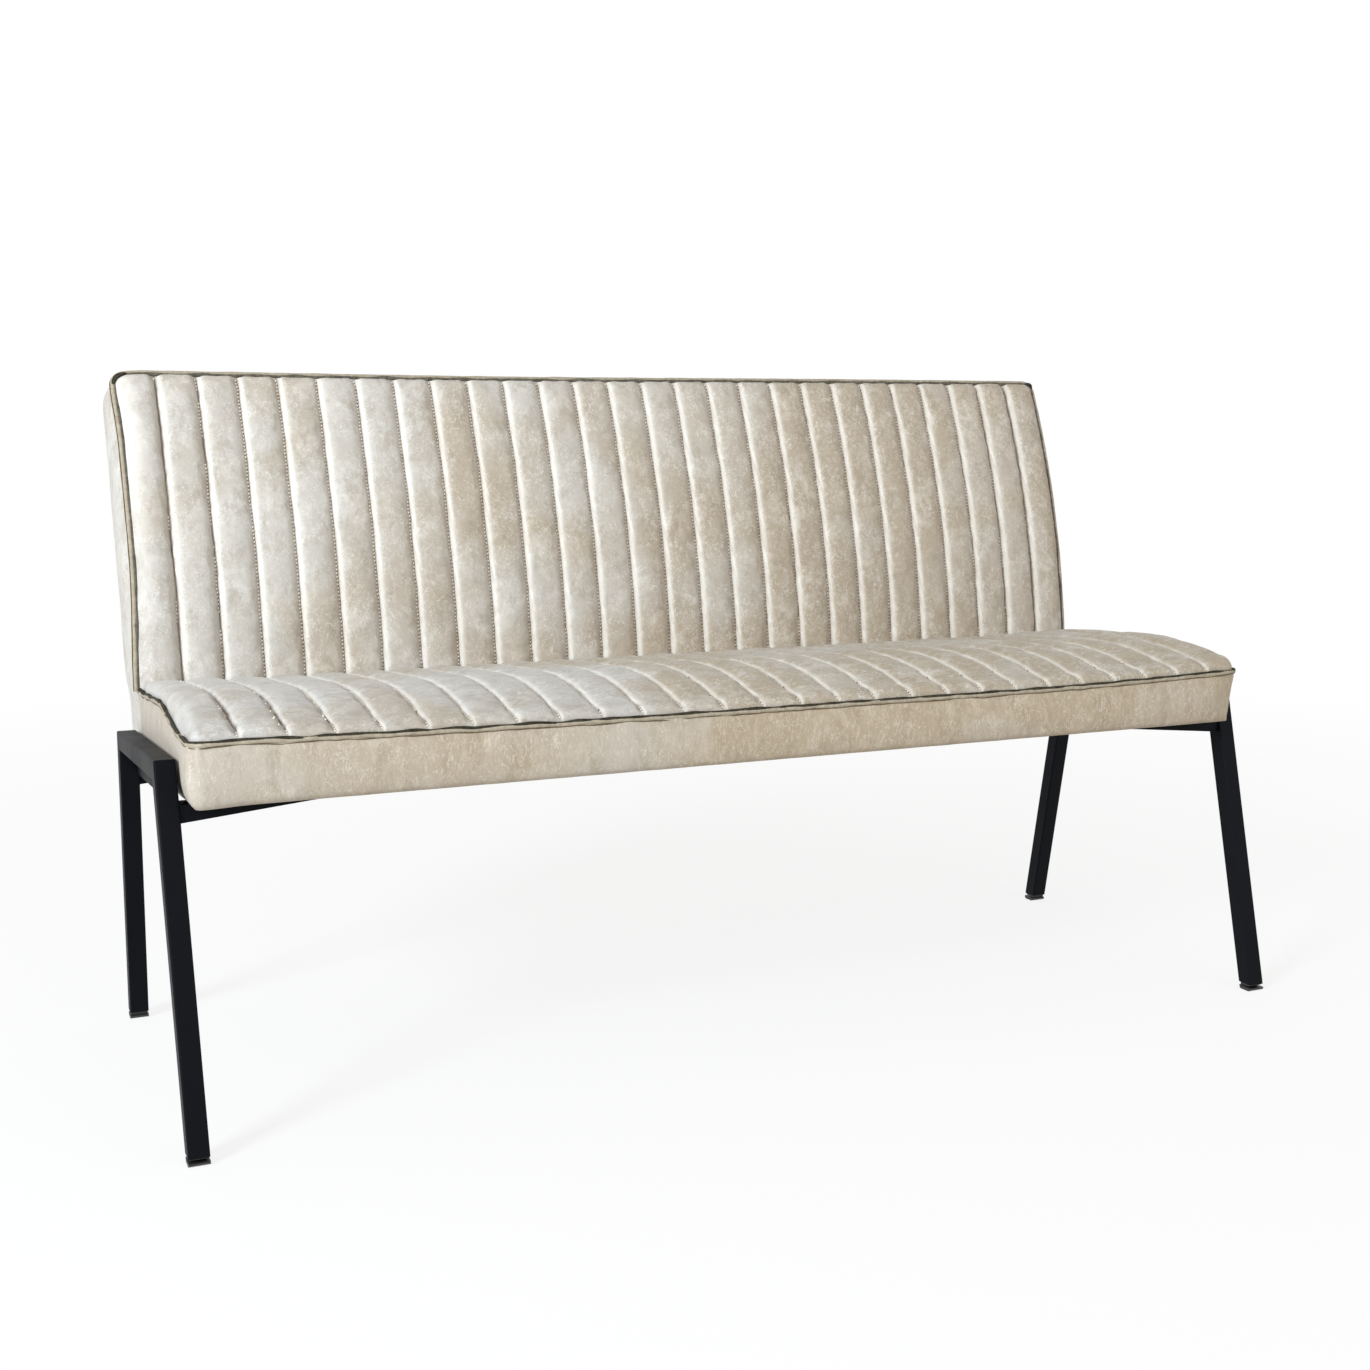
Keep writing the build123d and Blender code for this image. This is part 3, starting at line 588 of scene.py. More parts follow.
# %% Seat curves
def seat_base(depth):
    """Height of the curve under the seat's channels."""
    rise = smooth_step((depth - rise_start) / (hump_depth - rise_start))
    fall = np.clip((depth - hump_depth) / (seat_depth - hump_depth), 0, 1)
    return seat_low + (seat_high - seat_low) * rise - hump_fall * fall ** 2


def seat_top(depth, lift):
    """Height of the seat's surface for a lift, its nose rounded down to the cord."""
    nose = seat_low + lift * nose_lift
    hump = seat_high + lift
    share = np.maximum(depth - nose_reach, 0) / (hump_depth - nose_reach)
    before = nose + (hump - nose) * share + seat_arc * 4 * share * (1 - share)
    after = hump - hump_fall * ((depth - hump_depth) / (seat_depth - hump_depth)) ** 2
    full = np.where(depth < hump_depth, before, after)
    edge = seat_low + edge_lift
    return edge + (full - edge) * round_rise(depth, nose_reach)


print("seat top at the hump", np.round(seat_top(np.array([hump_depth]), seat_crest), 4))

# %% [markdown]
# The back's curve is a short straight piece and then a long arc. Its flat rear face is found by
# going from the curve straight through the back.

# %% Back curves
def back_point(angle, forward):
    """Depth and height on the back's curve; below its bend the angle is a negative height."""
    depth = back_face + back_radius - (back_radius + forward) * np.cos(np.maximum(angle, 0))
    height = back_straight + (back_radius + forward) * np.sin(np.maximum(angle, 0))
    return depth, height + np.minimum(angle, 0) * back_radius


def rear_point(angle, inset=0.0):
    """Where a line square to the back's curve meets its flat rear face."""
    low = np.array([back_face + back_thick_low - inset, 0.0])
    top = back_point(np.array(back_lean), 0.0)
    high = np.array([top[0] + back_thick_top * math.cos(back_lean) - inset,
                     top[1] - back_thick_top * math.sin(back_lean)])
    along = high - low
    depth, height = back_point(angle, 0.0)
    turn = np.maximum(angle, 0)
    cross = np.cos(turn) * along[1] + np.sin(turn) * along[0]
    reach = ((low[0] - depth) * along[1] - (low[1] - height) * along[0]) / cross
    return depth + reach * np.cos(turn), height - reach * np.sin(turn)


print("back top", np.round(back_point(np.array([back_lean]), 0), 4))

# %% [markdown]
# The lift is least at the seams and full on the crest of each channel, whose section is a rounded
# box with steep shoulders. The two outer channels are the widest and the fullest.

# %% Channels
def seam_distance(x, lines):
    """Distance of each place across the bench to its nearest seam."""
    return np.min(np.abs(np.asarray(x)[..., None] - lines), axis=-1)


def channel_lift(x, lines, valley, crest):
    """Lift across the channels: a rounded box between seams, fullest in the two wide outer ones."""
    near = seam_distance(x, lines) / shoulder
    box = near / (1 + near ** 3) ** (1 / 3)
    outer = smooth_step((np.abs(x) - (half_width - edge_channel - outer_blend)) / outer_blend)
    crown = panel_crown * (1 - (x / half_width) ** 2)
    return valley + (crest - valley) * box + crown + outer_fill * outer * box


print("lift in the middle", np.round(channel_lift(np.array([0.0]), seams, seat_valley, seat_crest), 4))

# %% [markdown]
# ## Small modelling helpers
# Everything that is selected takes part in an operator, so each primitive is added with nothing
# else selected. Shapes are given as arrays of places, which are quicker to work out all at once
# than point by point.

# %% Selecting and placing points
def only(obj):
    """Select one object and make it active."""
    bpy.ops.object.select_all(action="DESELECT")
    obj.select_set(True)
    bpy.context.view_layer.objects.active = obj


def points_of(obj):
    """An object's vertices as an array."""
    flat = np.empty(len(obj.data.vertices) * 3)
    obj.data.vertices.foreach_get("co", flat)
    return flat.reshape(-1, 3)


def set_points(obj, points):
    """Move an object's vertices to an array of places."""
    obj.data.vertices.foreach_set("co", np.asarray(points, float).ravel())
    obj.data.update()


def moved(points, across=0.0, up=0.0):
    """Points shifted across the bench and upwards."""
    steps = np.zeros_like(points)
    steps[:, 0], steps[:, 2] = across, up
    return points + steps


print("points can be read and moved")

# %% [markdown]
# A sheet of cloth starts as a flat grid. Each of its points keeps two numbers, how far across the
# sheet it lies and how far along, and those say later where on the bench it belongs. Such numbers
# are painted on the points as attributes, so they outlive a subdivision.

# %% Grids and painted values
def cloth_grid(name, columns, rows):
    """A flat grid with its own numbers across and along, ordered row by row."""
    bpy.ops.object.select_all(action="DESELECT")
    bpy.ops.mesh.primitive_grid_add(x_subdivisions=len(columns) - 1,
                                    y_subdivisions=len(rows) - 1, size=2)
    grid = bpy.context.object
    grid.name = name
    flat = points_of(grid)
    col = np.rint((flat[:, 0] + 1) / 2 * (len(columns) - 1)).astype(int)
    row = np.rint((flat[:, 1] + 1) / 2 * (len(rows) - 1)).astype(int)
    across, along = np.asarray(columns)[col], np.asarray(rows)[row]
    for label, values in (("across", across), ("along", along)):
        grid.data.attributes.new(label, "FLOAT", "POINT").data.foreach_set("value", values)
    return grid, across, along


def read_attribute(obj, label):
    """A painted value of every vertex."""
    values = np.empty(len(obj.data.vertices))
    obj.data.attributes[label].data.foreach_get("value", values)
    return values


def paint_attribute(obj, label, values):
    """Paint a value on every vertex."""
    layer = obj.data.attributes.get(label) or obj.data.attributes.new(label, "FLOAT", "POINT")
    layer.data.foreach_set("value", np.asarray(values, float))


print("grids and painted values ready")

# %% [markdown]
# A finished piece is shaded smooth up to an angle, rides on the bench and takes its finish.
# It also says which of the CAD nodes it stands for.

# %% Finishing a piece
def finish_modifier(obj, kind, **settings):
    """Add a modifier and apply it at once."""
    only(obj)
    modifier = obj.modifiers.new(kind.title(), kind)
    for key, value in settings.items():
        setattr(modifier, key, value)
    bpy.ops.object.modifier_apply(modifier=modifier.name)


def face_outward(obj, angle=50):
    """Merge doubles, turn all faces outward and shade smooth up to an angle."""
    only(obj)
    bpy.ops.object.mode_set(mode="EDIT")
    bpy.ops.mesh.select_all(action="SELECT")
    bpy.ops.mesh.remove_doubles(threshold=0.000005)
    bpy.ops.mesh.normals_make_consistent(inside=False)
    bpy.ops.object.mode_set(mode="OBJECT")
    bpy.ops.object.shade_smooth_by_angle(angle=math.radians(angle))


def place_piece(obj, finish, slot, *nodes):
    """Give a piece its finish and its body, and say which nodes it stands for; slot is not used."""
    obj.data.materials.clear()
    obj.data.materials.append(finish)
    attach(obj, "root")
    if nodes:
        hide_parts(*nodes)
    tris = sum(len(p.vertices) - 2 for p in obj.data.polygons)
    print(obj.name, "stands for", nodes or "nothing else,", tris, "triangles")


def print_boxes(obj):
    """Read a piece's points; nothing is printed."""
    points = points_of(obj)


print("pieces can be finished")

# %% [markdown]
# ## Plumping by simulation
# A sewn channel is held at its seams, and its wadding pushes the cloth up between them. The cloth
# simulation does just that: seams and edges are pinned, a small pressure fills the rest, gravity
# is off, and no point may move further than the wadding could push it.

# %% Plump the cloth
plump_pressure, plump_reach, plump_looseness, last_frame = 4.0, 0.0016, 0.01, 20


def held_points(across, along, low, high):
    """Which points lie on a panel's edges or seams, where the sewing holds them."""
    on_edge = (along < low + 0.001) | (along > high - 0.001) | (np.abs(across) > half_width - 0.001)
    return on_edge | (seam_distance(across, seams) < 0.0005)


def plump(obj, pinned):
    """Simulate the cloth for twenty frames and keep the capped result."""
    start = points_of(obj)
    pins = obj.vertex_groups.new(name="pins")
    pins.add([int(i) for i in np.flatnonzero(pinned)], 1.0, "REPLACE")
    only(obj)
    cloth = obj.modifiers.new("Cloth", "CLOTH")
    cloth.settings.quality = 4
    cloth.settings.mass = 0.25
    cloth.settings.tension_stiffness = cloth.settings.compression_stiffness = 18
    cloth.settings.shear_stiffness = 6
    cloth.settings.bending_stiffness = 0.6
    cloth.settings.use_pressure = True
    cloth.settings.uniform_pressure_force = plump_pressure
    cloth.settings.shrink_min = -plump_looseness
    cloth.settings.effector_weights.gravity = 0
    cloth.settings.vertex_group_mass = "pins"
    cloth.collision_settings.use_collision = False
    cloth.collision_settings.use_self_collision = False
    cloth.point_cache.frame_start, cloth.point_cache.frame_end = 1, last_frame
    for number in range(1, last_frame + 1):
        bpy.context.scene.frame_set(number)
    shown = obj.evaluated_get(bpy.context.evaluated_depsgraph_get())
    flat = np.empty(len(start) * 3)
    shown.data.vertices.foreach_get("co", flat)
    push = flat.reshape(-1, 3) - start
    reach = np.linalg.norm(push, axis=1)
    push *= (np.minimum(reach, plump_reach) / np.maximum(reach, 1e-9))[:, None]
    obj.modifiers.remove(cloth)
    obj.vertex_groups.remove(pins)
    bpy.context.scene.frame_set(1)
    set_points(obj, start + push)
    print(obj.name, "plumped, largest free move", round(reach.max() * 1000, 2), "mm")


print("plumping is", "on")

# %% [markdown]
# ## Columns and rows of a quilted panel
# The grid for a panel is fine beside the seams and edges, where the cloth turns quickly, and
# coarse on the crests. A column lies exactly on every seam, so that the seam stays straight.

# %% Panel columns
def panel_columns(lines):
    """Places across the bench for a panel's grid."""
    near = np.array([0.0009, 0.0022, 0.0039, 0.0062, 0.0095, 0.0140])
    columns = [-half_width, half_width]
    for line in lines:
        columns += [line, *(line - near), *(line + near)]
    columns += [(a + b) / 2 for a, b in zip(lines, lines[1:])]
    for side, last in ((-1, lines[0]), (1, lines[-1])):
        outer = abs(side * half_width - last)
        columns += [side * (half_width - d) for d in (0.0007, 0.002, 0.0045, 0.008, 0.012, 0.018)]
        columns.append(last + side * (outer - 0.018 + 0.0145) / 2)
    return np.array(sorted(set(np.round(columns, 6))))


columns = panel_columns(seams)
seat_rows = np.concatenate([[0, 0.0006, 0.002, 0.0045, 0.008, 0.013, 0.019, 0.026],
                            np.linspace(0.034, seat_depth, 49)])
back_low = seat_high - 0.050 - back_straight
back_top = back_radius * back_lean
back_rows = np.concatenate([np.linspace(back_low, back_top - 0.022, 58),
                            back_top - np.array([0.0155, 0.010, 0.006, 0.003, 0.001, 0.0])])
print(len(columns), "columns,", len(seat_rows), "seat rows,", len(back_rows), "back rows")

# %% [markdown]
# The panel's own surface puts the curves, the channels and the edges together. Its corners are
# sewn round, so the square corners of the grid are squeezed into quarter circles.

# %% Surfaces of the two panels
def rounded_corners(x, from_edge):
    """Squeeze the square corners of a panel into quarter rounds; from_edge is measured inward."""
    a = np.clip((np.abs(x) - (half_width - plan_round)) / plan_round, 0, 1)
    b = np.clip((plan_round - from_edge) / plan_round, 0, 1)
    shorter_a, shorter_b = a * np.sqrt(1 - b * b / 2), b * np.sqrt(1 - a * a / 2)
    return x + np.sign(x) * (shorter_a - a) * plan_round, from_edge + (b - shorter_b) * plan_round


def seat_surface(x, depth):
    """The seat's channelled surface in the shared frame, from straight numbers across and along."""
    lift = channel_lift(x, seams, seat_valley, seat_crest)
    edge = seat_base(depth) + edge_lift
    side = round_rise(half_width - np.abs(x), seat_side_round)
    height = edge + (seat_top(depth, lift) - edge) * side
    placed_x, placed_depth = rounded_corners(x, depth)
    return to_frame(placed_x, placed_depth, height)


def back_surface(x, along):
    """The back's channelled surface in the shared frame; along is measured up its curve."""
    lift = channel_lift(x, seams, back_valley, back_crest)
    side = round_rise(half_width - np.abs(x), back_side_round)
    nose = round_rise(back_top - along, back_top_round)
    forward = edge_lift + (lift - edge_lift) * side * nose
    placed_x, from_top = rounded_corners(x, back_top - along)
    depth, height = back_point((back_top - from_top) / back_radius, forward)
    return to_frame(placed_x, depth, height)


print("seat surface sample", np.round(seat_surface(np.array([0.0]), np.array([0.2])), 3))

# %% [markdown]
# ## Closing a cushion behind
# A cushion is a closed form. Its quilted face is turned down all round its edge to a smaller
# outline, which lies on the wood that carries it, and the hole left there is closed in strips.

# %% Close a cushion
def close_behind(obj, under):
    """Close a quilted face with a wall down to the places that under(across, along) gives."""
    points = points_of(obj)
    across, along = read_attribute(obj, "across"), read_attribute(obj, "along")
    tiny = 1e-6
    left = np.flatnonzero(across < across.min() + tiny)
    right = np.flatnonzero(across > across.max() - tiny)
    low = np.flatnonzero(along < along.min() + tiny)
    high = np.flatnonzero(along > along.max() - tiny)
    left, right = left[np.argsort(along[left])], right[np.argsort(along[right])]
    low, high = low[np.argsort(across[low])], high[np.argsort(across[high])]
    ring = np.concatenate([low, right[1:], high[::-1][1:], left[::-1][1:-1]])
    below = under(across[ring], along[ring])
    place = {int(v): len(points) + k for k, v in enumerate(ring)}
    faces = [tuple(p.vertices) for p in obj.data.polygons]
    faces += [(int(a), place[int(a)], place[int(b)], int(b)) for a, b in zip(ring, np.roll(ring, -1))]
    last = len(left) - 1
    for k in range(last):
        face = [place[int(left[k])]]
        if k == 0:
            face += [place[int(v)] for v in low[1:-1]]
        face += [place[int(right[k])], place[int(right[k + 1])]]
        if k == last - 1:
            face += [place[int(v)] for v in high[::-1][1:-1]]
        face.append(place[int(left[k + 1])])
        faces.append(tuple(face))
    # The painted shade and the painted highlight are 0 on the new wall.
    painted = {label: np.concatenate([read_attribute(obj, label), np.zeros(len(below))])
               for label in ("crease_shade", "shoulder_highlight")}
    mesh = bpy.data.meshes.new(obj.name)
    mesh.from_pydata(np.vstack([points, below]).tolist(), [], faces)
    for label, values in painted.items():
        mesh.attributes.new(label, "FLOAT", "POINT").data.foreach_set("value", values)
    old, obj.data = obj.data, mesh
    bpy.data.meshes.remove(old)
    face_outward(obj)


print("cushions can be closed")

# %% [markdown]
# ## The seams and their puckers
# After the plumping comes the sewing: each seam pulls a narrow groove into the cloth, and the
# cloth beside it puckers a little, never twice alike. A painted highlight makes the shoulder right
# of a seam, which faces the lamp, pale, and painted shade makes the groove and the shoulder left of
# it deeper; both are painted on the vertices too, for the finish to use. The upper left edge gets a
# painted highlight as well. At last the whole panel wanders sideways by less than a millimetre, as
# hand-fed cloth does.

# %% Sew the channels
groove_width, pucker_pitch = 0.0014, 0.013


def sew_channels(obj, lines, groove, pucker, seed, shoulder_place, shoulder_width, pale, left_edge_highlight):
    """Push grooves and puckers into a subdivided panel, paint shade into its creases and a highlight on
    its lit shoulders.
    """
    points = points_of(obj)
    across, along = read_attribute(obj, "across"), read_attribute(obj, "along")
    normals = np.empty(len(points) * 3)
    obj.data.vertices.foreach_get("normal", normals)
    normals = normals.reshape(-1, 3)
    distance = seam_distance(across, lines)
    nearest = np.argmin(np.abs(across[:, None] - lines), axis=1)
    right_of_seam = across > lines[nearest]
    ends = np.minimum(along - along.min(), along.max() - along)
    free = smooth_step(ends / 0.006)
    depth = groove * bell(distance, groove_width) * free
    gather = np.zeros(len(points))
    for number in range(len(lines)):
        here = nearest == number
        right, left = (wobble(along[here], pucker_pitch, seed + 2 * number + k) for k in (0, 1))
        gather[here] = np.where(right_of_seam[here], right, left)
    beside = bell(distance - 0.006, 0.0055)
    slow = wobble(along + 3 * across, 0.12, seed + 90) * (1 - bell(distance, 0.012))
    hem = wobble(across, 0.014, seed + 92) * bell(ends - 0.007, 0.006)
    lift = pucker * (gather * beside * free + 0.9 * hem) + 0.0005 * slow * free - depth
    set_points(obj, points + normals * lift[:, None])
    # Painted shade: brown in each groove and over the shoulder left of it, where shade falls.
    shade = np.maximum(bell(distance, groove_width), 0.50 * bell(distance, 0.0050))
    paint_attribute(obj, "crease_shade", np.where(right_of_seam, bell(distance, 0.0008), shade) * free)
    # Painted highlight: the shoulder right of each seam, which faces the lamp, and the upper left edge
    # turn pale.
    highlight_wobble = 0.8 + 0.2 * wobble(along + 7 * across, 0.03, seed + 91)
    painted_shoulder_highlight = pale * bell(distance - shoulder_place, shoulder_width) * np.where(right_of_seam, 1, 0.2)
    upper = smooth_step((along - along.min()) / (along.max() - along.min()) * 1.6 - 0.3)
    outer = left_edge_highlight * upper * bell(np.maximum(half_width + across - 0.010, 0), 0.017)
    paint_attribute(obj, "shoulder_highlight", highlight_wobble * np.maximum(painted_shoulder_highlight, outer))


def wander(points, seed):
    """Shift places sideways by a fraction of a millimetre, smoothly along the bench and up it."""
    up = points[:, 2] + points[:, 1]
    ends = smooth_step((half_width - np.abs(points[:, 0])) / 0.02)
    return moved(points, across=0.0007 * wobble(up + points[:, 0] * 9, 0.11, seed) * ends)


seat_wander, back_wander = 5, 6
print("sewing ready")

# %% [markdown]
# ## How the bench has settled
# A used bench isn't straight any more. Along the front the padding gives, so the cord hangs a few
# millimetres lower in the middle than at the corners, slightly more so on the right. The seat's
# left edge is pulled in and down. Every soft piece of a cushion is moved by the same rule, so the
# pieces stay together.

# %% Settling of the seat
hang_centre, front_hang, right_hang = 0.1, 0.0085, 0.0018
left_reach = 0.055


def near_left(across):
    """How much of a change at the left edge reaches a place, from 1 at the edge to 0."""
    return smooth_step((-across - half_width + left_reach) / left_reach)


def settle_seat(points):
    """Let the seat's front edge hang between its corners and pull its left edge in and down."""
    across = points[:, 0]
    depth, height = from_frame(points)
    behind, high = np.maximum(depth, 0), smooth_step(height / seat_low)
    reach = np.where(across > hang_centre, half_width - hang_centre, half_width + hang_centre)
    span = 1 - np.clip(np.abs(across - hang_centre) / reach, 0, 1) ** 2.5
    hang = front_hang * span * bell(behind, 0.075) * high
    hang += right_hang * smooth_step((across - hang_centre) / 0.4) * bell(behind, 0.030) * high
    left = near_left(across) * high
    dip = 0.0015 + 0.0040 * bell(depth - 0.15, 0.07)
    return moved(points, across=0.0035 * left, up=-hang - dip * left)


print("the front edge hangs by", front_hang * 1000, "mm")

# %% [markdown]
# The back's top sags slightly and its left side swells, while the left edge of its front is drawn
# in towards the top. That edge is told from the side behind it by how far it lies behind the
# back's own curve.

# %% Settling of the back
def settle_back(points):
    """Let the back's top sag, its left side swell, and draw its left front edge in."""
    across, up = points[:, 0], points[:, 2]
    sag = 0.0028 * bell(across + 0.2, 0.42) * smooth_step((up - 0.70) / 0.18)
    swell = 0.0036 * smooth_step((-across - 0.715) / 0.025) * smooth_step((up - 0.445) / 0.04)
    depth, height = from_frame(points)
    behind = back_radius - np.hypot(depth - back_face - back_radius, height - back_straight)
    drawn = 0.0085 * near_left(across) * smooth_step(1 - behind / left_reach)
    drawn = drawn * smooth_step((up - 0.44) / 0.22) * (1 - 0.45 * smooth_step((up - 0.80) / 0.09))
    corner = 0.0012 * bell(np.hypot(across + half_width, up - 0.893) - 0.004, 0.016)
    return moved(points, across=drawn - swell + corner, up=-sag - corner)


print("settling rules ready")

# %% [markdown]
# ## The seat cushion
# One quilted panel runs from the front cord up over the nose and the hump to the back. Below it
# is foam down to the plywood. Both are one padded piece here, closed on the board.

# %% Seat cushion
seat_cushion, across, along = cloth_grid("seat_cushion", columns, seat_rows)
set_points(seat_cushion, seat_surface(across, along))
plump(seat_cushion, held_points(across, along, 0, seat_depth))
finish_modifier(seat_cushion, "SUBSURF", levels=1, render_levels=1)
# The seat gets painted shade in its creases, a painted highlight on its lit shoulders and a faint one
# on its left edge.
sew_channels(seat_cushion, seams, groove=0.0006, pucker=0.0006, seed=10, shoulder_place=0.0030,
             shoulder_width=0.0022, pale=0.80, left_edge_highlight=0.15)
seat_board_top, rear_play = 0.0193, 0.0006
inner_share = (half_width - band_inset) / half_width


def seat_under(x, depth):
    """Where the seat cushion's wall meets the board, inside the band."""
    inner_depth = band_inset + depth * (seat_depth - band_inset - rear_play) / seat_depth
    return to_frame(x * inner_share, inner_depth, seat_board_top)


close_behind(seat_cushion, seat_under)
set_points(seat_cushion, settle_seat(wander(points_of(seat_cushion), seat_wander)))
place_piece(seat_cushion, seat_cover, "upholstery", "seat_panel", "seat_foam")

# %% [markdown]
# ## The back cushion
# The back is sewn the same way, with the same seams, and its channels run from behind the seat
# up to the cord along the top. Its foam lies on a bent board.

# %% Back cushion
back_cushion, across, along = cloth_grid("back_cushion", columns, back_rows)
set_points(back_cushion, back_surface(across, along))
plump(back_cushion, held_points(across, along, back_low, back_top))
finish_modifier(back_cushion, "SUBSURF", levels=1, render_levels=1)
# The back gets painted shade in its creases, a painted highlight on its lit shoulders and a stronger
# one on its upper left edge.
sew_channels(back_cushion, seams, groove=0.0009, pucker=0.0006, seed=70, shoulder_place=0.0042,
             shoulder_width=0.0034, pale=0.95, left_edge_highlight=0.62)
foam_behind = 0.040


def back_under(x, along):
    """Where the back cushion's wall meets the bent board, inside the band."""
    share = (along - back_low) / (back_top - back_low)
    depth, height = back_point((back_top - band_inset) * share / back_radius, -foam_behind)
    return to_frame(x * inner_share, depth, height)


close_behind(back_cushion, back_under)
set_points(back_cushion, settle_back(wander(points_of(back_cushion), back_wander)))
place_piece(back_cushion, back_cover_finish, "upholstery", "back_panel", "back_foam")

# %% [markdown]
# ## The seat's band
# A plain band of the cover runs round both sides and the front. It is full at mid height, drawn
# in at its foot where it is stapled under the board, and gathers slightly below the cord. Both
# bands follow an outline of the same kind: up one side, round a corner, along the middle, and
# the same again mirrored.

# %% Outlines of the bands
corner_turn = np.linspace(0, math.pi / 2, 9)
middle_run = np.linspace(-(half_width - plan_round), 0, 82)[1:]


def banded_outline(reach, side, turned, middle):
    """Places across, and along or behind, of an outline that is the same on both sides."""
    radius = plan_round + reach
    x = np.concatenate([np.full(len(side), -half_width - reach),
                        -(half_width - plan_round) - radius * np.cos(corner_turn), middle_run])
    way = np.concatenate([side, turned, np.full(len(middle_run), middle)])
    return np.concatenate([x, -x[::-1][1:]]), np.concatenate([way, way[::-1][1:]])


def seat_outline(reach):
    """Places across and depths round the seat at a reach outside it, left rear to right rear."""
    side = np.linspace(seat_depth, plan_round, 44)[:-1]
    turned = plan_round - (plan_round + reach) * np.sin(corner_turn)
    return banded_outline(reach, side, turned, -reach)


def lengths_along(outline):
    """How far along an outline each of its places lies."""
    return np.concatenate([[0], np.cumsum(np.hypot(*np.diff(np.array(outline), axis=1)))])


def outline_at(route, lengths, travelled):
    """Places on an outline at the lengths travelled, and the directions that lead out of it."""
    edge = np.array(route(0.0))
    away = (np.array(route(0.001)) - edge) * 1000
    return [np.interp(travelled, lengths, values) for values in (*edge, *away)]


outline_length = lengths_along(seat_outline(0.0))
print("the band runs", round(outline_length[-1], 3), "m round the seat")

# %% [markdown]
# The band's section is given as levels from its foot to the cord, with the share of the full
# bulge at each. Three wobbles gather it: below the cord, at the foot and slowly along its middle.

# %% Seat band
band_levels = np.array([0, 0.03, 0.08, 0.16, 0.28, 0.42, 0.58, 0.74, 0.87, 0.95, 1.0])
band_shares = np.array([-0.85, -0.45, -0.05, 0.35, 0.72, 0.95, 1.0, 0.94, 0.78, 0.60, 0.42])
seat_band, across, along = cloth_grid("seat_band", outline_length, band_levels)
foot_x, foot_depth, out_x, out_depth = outline_at(seat_outline, outline_length, across)
top = seat_base(np.maximum(foot_depth, 0)) + 0.0005
bulge = band_bulge * np.interp(along, band_levels, band_shares)
gather = 0.0007 * wobble(across, 0.035, 21) * bell(along - 0.93, 0.10)
gather += 0.0010 * wobble(across, 0.055, 22) * bell(along, 0.16)
gather += 0.0008 * wobble(across + along * 0.08, 0.16, 23) * np.sin(along * math.pi)
print("the band gathers by up to", round(np.abs(gather).max() * 1000, 1), "mm")

# %% [markdown]
# The two sides differ: on the right the band is pulled flat and leans in towards its foot, on the
# left it is full below the cord. Both front corners bunch, and the left one sags.

# %% Shape of the seat band
right_side = smooth_step((foot_x - half_width + 0.05) / 0.04)
left_side = smooth_step((-foot_x - half_width + 0.03) / 0.03) * smooth_step(foot_depth / 0.05)
flat_bulge = 0.3 * gather + 0.0025 - 0.0105 * (1 - along)
bulge = (bulge + gather) * (1 - right_side) + right_side * flat_bulge
corner = bell(np.hypot(np.abs(foot_x) - half_width, foot_depth) - 0.012, 0.022)
bulge += 0.0016 * wobble(across, 0.011, 24) * corner * bell(along - 0.86, 0.09)
bulge += 0.0020 * left_side * bell(along - 0.78, 0.16)
corner_sag = 0.0020 * bell(np.hypot(foot_x + half_width, foot_depth), 0.045) * (1 - along) ** 2
set_points(seat_band, to_frame(foot_x + bulge * out_x, foot_depth + bulge * out_depth,
                               top * along - corner_sag))
# Painted shade under the cord and along the foot of the band.
paint_attribute(seat_band, "crease_shade", 0.5 * bell(1 - along, 0.04) + 0.6 * bell(along, 0.05))


def thicken(obj, thick, settle, even=True):
    """Subdivide a sheet, give it its thickness inwards and let it settle."""
    finish_modifier(obj, "SUBSURF", levels=1, render_levels=1)
    finish_modifier(obj, "SOLIDIFY", thickness=thick, offset=-1.0, use_even_offset=even)
    face_outward(obj)
    set_points(obj, settle(points_of(obj)))


thicken(seat_band, 0.0082, settle_seat)
place_piece(seat_band, band_cover, "upholstery", "seat_boxing")
print_boxes(seat_band)

# %% [markdown]
# ## The back's band
# The back has a deep band too, up both sides and over the top. Its sides are padded like a thin
# pillow, and it turns round the rear edge, where the cover panel is sewn to it.

# %% Outline round the back
def back_route(reach):
    """Places across and lengths up the back's curve, left foot over the top to right foot."""
    side = np.linspace(-back_straight, back_top - plan_round, 56)[:-1]
    turned = back_top - plan_round + (plan_round + reach) * np.sin(corner_turn)
    return banded_outline(reach, side, turned, back_top + reach)


back_length = lengths_along(back_route(0.0))
print("the band runs", round(back_length[-1], 3), "m round the back")

# %% [markdown]
# Here the section runs from the front cord back to the rear edge and a little way round it. The
# pillow says how far the cloth stands out at each share of that depth, and below 0 it turns in.

# %% Back band
depth_shares = np.array([0, 0.02, 0.06, 0.14, 0.26, 0.40, 0.54, 0.68, 0.80, 0.89,
                         0.95, 0.985, 1.0, 1.02, 1.10])
pillow = np.array([0, 0.22, 0.45, 0.75, 0.95, 1.0, 1.0, 0.93, 0.76, 0.48,
                   0.12, -0.30, -0.62, -1.0, -1.35])
pillow_depth = 0.0055
back_band, across, along = cloth_grid("back_band", back_length, depth_shares)
route_x, route_up, out_x, out_up = outline_at(back_route, back_length, across)
share = np.clip(along, 0, 1)
gather = 0.0007 * wobble(across, 0.030, 31) * bell(along, 0.10)
gather += 0.0009 * wobble(across + along * 0.05, 0.11, 32) * np.sin(share * math.pi)
reach = pillow_depth * np.interp(along, depth_shares, pillow) + gather
band_x, up = route_x + reach * out_x, route_up + reach * out_up
front_depth, front_height = back_point(up / back_radius, edge_lift)
rear_depth, rear_height = rear_point(up / back_radius)
wrapped_depth = front_depth + (rear_depth - front_depth) * share
wrapped_height = front_height + (rear_height - front_height) * share
